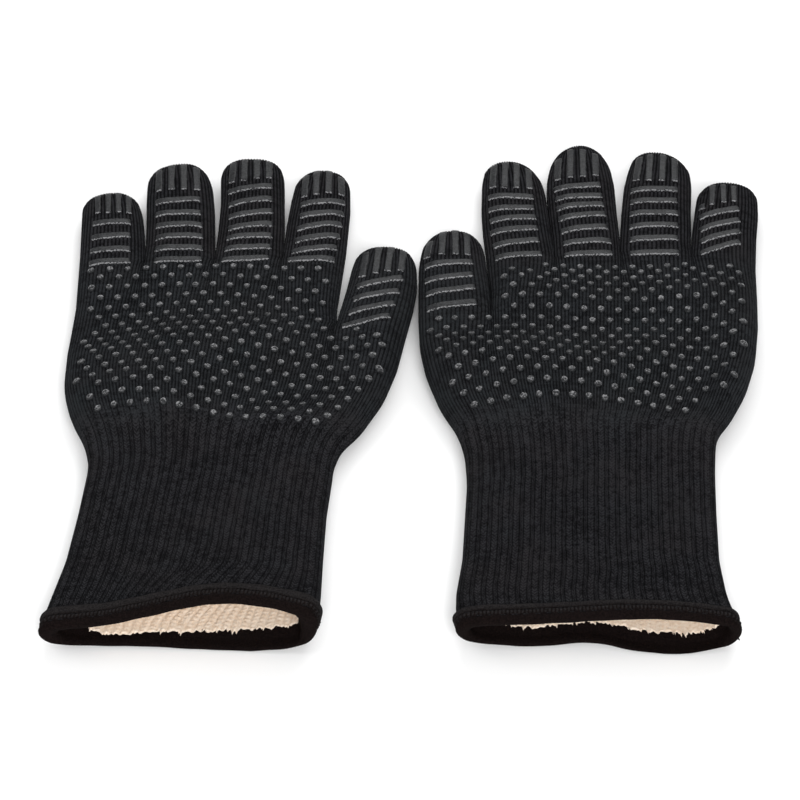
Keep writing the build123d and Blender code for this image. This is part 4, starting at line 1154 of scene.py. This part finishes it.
def dot_parts(glove, centres):
    parts = []
    seg = 14
    ang = np.arange(seg) / seg * 2 * math.pi
    rings = [(0.92, -0.5), (1.0, 0.35), (0.9, 0.85), (0.66, 1.12), (0.33, 1.16)]
    for k, c in enumerate(centres):
        r = 1.85 * rng.uniform(0.93, 1.06)
        sq = rng.uniform(0.94, 1.06)
        xy = [c[None]]
        for share, _ in rings:
            xy.append(c + np.c_[np.cos(ang) * r * share * sq, np.sin(ang) * r * share / sq])
        xy = np.vstack(xy)
        parts.append((xy, k))
    allxy = np.vstack([p for p, _ in parts])
    P, N = glove.point(allxy)
    lift = np.tile(np.r_[1.12, np.repeat([h for _, h in rings], seg)], len(parts)) * 0.95 + 0.30
    # Painted highlight and shade: the cap is painted paler on top and on its side towards the fingers, where the back
    # light falls, and darker on its near side.
    back = np.sin(ang)
    rim = [0.05 + 0 * back, 0.12 + 0.15 * np.maximum(back, 0), 0.25 + 0.25 * back, 0.45 + 0.15 * back, 0.42 + 0 * back]
    crown = np.tile(np.r_[0.36, np.concatenate(rim)], len(parts))
    P = P + N * lift[:, None]
    per = 1 + seg * len(rings)
    quads, tris = [], []
    for k in range(len(parts)):
        b = k * per + 1
        for i in range(len(rings) - 1):
            lo, hi = b + i * seg, b + (i + 1) * seg
            for q in range(seg):
                quads.append((lo + q, lo + (q + 1) % seg, hi + (q + 1) % seg, hi + q))
        top = b + (len(rings) - 1) * seg
        for q in range(seg):
            tris.append((top + q, top + (q + 1) % seg, k * per))
    return P, np.array(quads), np.array(tris), crown


def projection(p, lean):
    return p[..., 0] * math.sin(lean) + p[..., 1] * math.cos(lean)


def build_glove(side):
    g = GLOVES[side]
    glove = Glove(side, g)
    cloth, base = build_cloth(glove)
    quads = np.vstack([q for name in cloth.patches for q in piece_faces(cloth, name, slice(None))[0]])
    base_n = point_normals(base, quads)
    co = displace_ribs(glove, cloth, base, base_n)
    co[:, 2] = np.maximum(co[:, 2], 0.05)
    normals = point_normals(co, quads)
    inner = base - base_n * 3.5
    hand, cuff = f"{side}_hand", f"{side}_cuff"

    body = cloth.patches["body"]
    y = base[body["palm"][:, 40], 1]
    split = int(np.argmax(y > -30))
    split -= split % 2

    ob = build_piece(f"{side}_cuff_knit", cloth, co, normals, [("body", slice(0, split + 1))])
    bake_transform(ob)
    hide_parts(f"{side}_cuff_shell")
    ob = build_piece(f"{side}_hand_knit", cloth, co, normals, [("body", slice(split, None)), ("palm", slice(None))])
    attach(ob, hand)
    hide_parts(f"{side}_hand_shell")

    ob = build_binding(side, cloth, base, base_n)
    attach(ob, cuff)
    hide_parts(f"{side}_cuff_binding")
    extra_co, extra_q, deep = mouth_lining(side, cloth, base, base_n)
    ob = build_lining(f"{side}_cuff_lining_cloth", cloth, inner, [("body", slice(deep, split + 1))], (extra_co, extra_q))
    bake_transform(ob)
    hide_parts(f"{side}_cuff_lining")
    ob = build_lining(f"{side}_hand_lining_cloth", cloth, inner, [("body", slice(split, None)), ("palm", slice(None))])
    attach(ob, hand)
    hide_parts(f"{side}_hand_lining")

    # palm dots
    P, q, t, crown = dot_parts(glove, dot_centres(glove))
    ob = new_mesh(f"{side}_palm_dots", P, [q, t], material=SILICONE, point_value=crown)
    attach(ob, hand)
    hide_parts(f"{side}_hand_grip")

    for k, d in enumerate(g["order"]):
        info = g["digits"][d]
        lean = math.radians(info["lean"])
        axis = np.array([math.sin(lean), math.cos(lean)])
        patch = cloth.patches[d]
        ids = patch["palm"]
        first = projection(base[ids[0], :2], lean).max() + 0.15
        root = np.array(info["root"])
        root_s = float(root @ axis)
        bars, tips = g["bars"][d]
        mid_line = None
        if info["mid"]:
            mid = np.array(info["mid"])
            mid_s = float(mid @ axis)
            lo_s = projection(base[ids, :2], lean).min(1)
            hi_s = projection(base[ids, :2], lean).max(1)
            want = (root_s + mid_s) / 2
            js = int(np.argmin(np.abs((lo_s + hi_s) / 2 - want)))
            spans = [
                ("base", slice(0, js + 1), hand, f"{side}_{d}_base", first, lo_s[js] - 0.1),
                ("tip", slice(js, None), f"{side}_{d}_base", f"{side}_{d}_tip", hi_s[js] + 0.1, 2 * mid_s - hi_s[js] - 0.1),
            ]
            mid_line = (lo_s[js] + hi_s[js]) / 2
        else:
            spans = [(None, slice(0, None), hand, f"{side}_{d}", first, 2 * root_s - first + 2)]
        cells = []
        for x0, y0, x1, y1 in bars:
            a, b = (x0, y0), (x1, y1)
            cells.append((((x0 + x1) / 2 * axis[0] + (y0 + y1) / 2 * axis[1]), a, b, 1.85))
        for x0, y0, x1, y1 in tips:
            a, way = np.array([x0, y0]), np.array([x1 - x0, y1 - y0])
            way = way / math.hypot(*way)
            reach = a + way * np.arange(0, 40, 0.25)[:, None]
            dist = glove.edge_distance(reach)
            rise = reach[:, 1] * 0.695 + (glove.heights(reach)[0] + 0.9) * 0.719
            high = y1 * 0.695 + 15.0 * 0.719 - 1.1
            far = int(np.argmax((dist < 3.2) | (rise > high)))
            cells.append((1e6, tuple(a), tuple(reach[far]), 1.65 if d != "little" else 1.4))
        for tag, rows, body_a, body_b, s0, s1 in spans:
            stem = f"{side}_{d}_{tag}" if tag else f"{side}_{d}"
            ob = build_piece(f"{stem}_knit", cloth, co, normals, [(d, rows)])
            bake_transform(ob)
            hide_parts(f"{stem}_shell")
            ob = build_lining(f"{stem}_lining_cloth", cloth, inner, [(d, rows)])
            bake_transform(ob)
            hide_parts(f"{stem}_lining")
            mine = [
                c for c in cells
                if tag is None or (tag == "base") == (c[0] < mid_line)
            ]
            parts = [
                bar_points(glove, a, b, half, 0.5, 1000 * k + 10 * i + (7 if side == "left" else 0))
                for i, (_, a, b, half) in enumerate(mine)
            ]
            bc, bf, bt = join_parts(parts)
            ob = new_mesh(f"{stem}_bars", bc, bf, material=SILICONE, point_value=bt)
            fix_winding(ob)
            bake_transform(ob)
            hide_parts(f"{stem}_grip")
    return glove


built = {side: build_glove(side) for side in GLOVES}


# ------------------------------------------------------- floor, light, camera
def plain(name, colour, rough):
    mat, nt, bsdf = nodes_of(name)
    bsdf.inputs["Base Color"].default_value = (*colour, 1)
    bsdf.inputs["Roughness"].default_value = rough
    bsdf.inputs["Specular IOR Level"].default_value = 0.1
    return mat


me = bpy.data.meshes.new("floor")
me.from_pydata([(-6, -6, -0.0002), (6, -6, -0.0002), (6, 6, -0.0002), (-6, 6, -0.0002)], [], [(0, 1, 2, 3)])
floor = bpy.data.objects.new("floor", me)
bpy.context.scene.collection.objects.link(floor)
me.materials.append(plain("floor_white", (0.93, 0.93, 0.93), 0.9))


def area_light(name, place, target, size, power, colour=(1, 1, 1)):
    data = bpy.data.lights.new(name, "AREA")
    data.shape = "RECTANGLE"
    data.size, data.size_y = size
    data.energy = power
    data.color = colour
    ob = bpy.data.objects.new(name, data)
    bpy.context.scene.collection.objects.link(ob)
    ob.location = place
    ob.rotation_euler = (Vector(target) - Vector(place)).to_track_quat("-Z", "Y").to_euler()
    return ob


area_light("window_back", (0.25, 1.3, 1.25), (0, 0.05, 0), (1.5, 0.7), 19)
area_light("window_left", (-1.3, 0.1, 1.1), (0, 0, 0), (0.9, 1.2), 7)
area_light("front_key", (0.2, -1.42, 0.98), (0, -0.08, 0), (0.9, 0.5), 23)

world = bpy.data.worlds.new("studio")
bpy.context.scene.world = world
world.use_nodes = True
world.node_tree.nodes["Background"].inputs[0].default_value = (1.0, 1.0, 1.0, 1)
world.node_tree.nodes["Background"].inputs[1].default_value = 0.5

# The camera looks down at the pair from the cuffs' side.
cam_data = bpy.data.cameras.new("camera")
cam = bpy.data.objects.new("camera", cam_data)
bpy.context.scene.collection.objects.link(cam)
aim = Vector((-0.01055, -0.0111, 0.0))
tilt = math.radians(44.0)
cam.location = aim + Vector((0, -math.cos(tilt), math.sin(tilt))) * 1.25
cam.rotation_euler = (math.radians(90) - tilt, 0, 0)
cam_data.sensor_width = 36.0
cam_data.lens = 36.0 * 2625.0 / 800.0
cam_data.clip_start = 0.05
cam_data.clip_end = 30
bpy.context.scene.camera = cam
bpy.context.scene.view_settings.view_transform = "Standard"
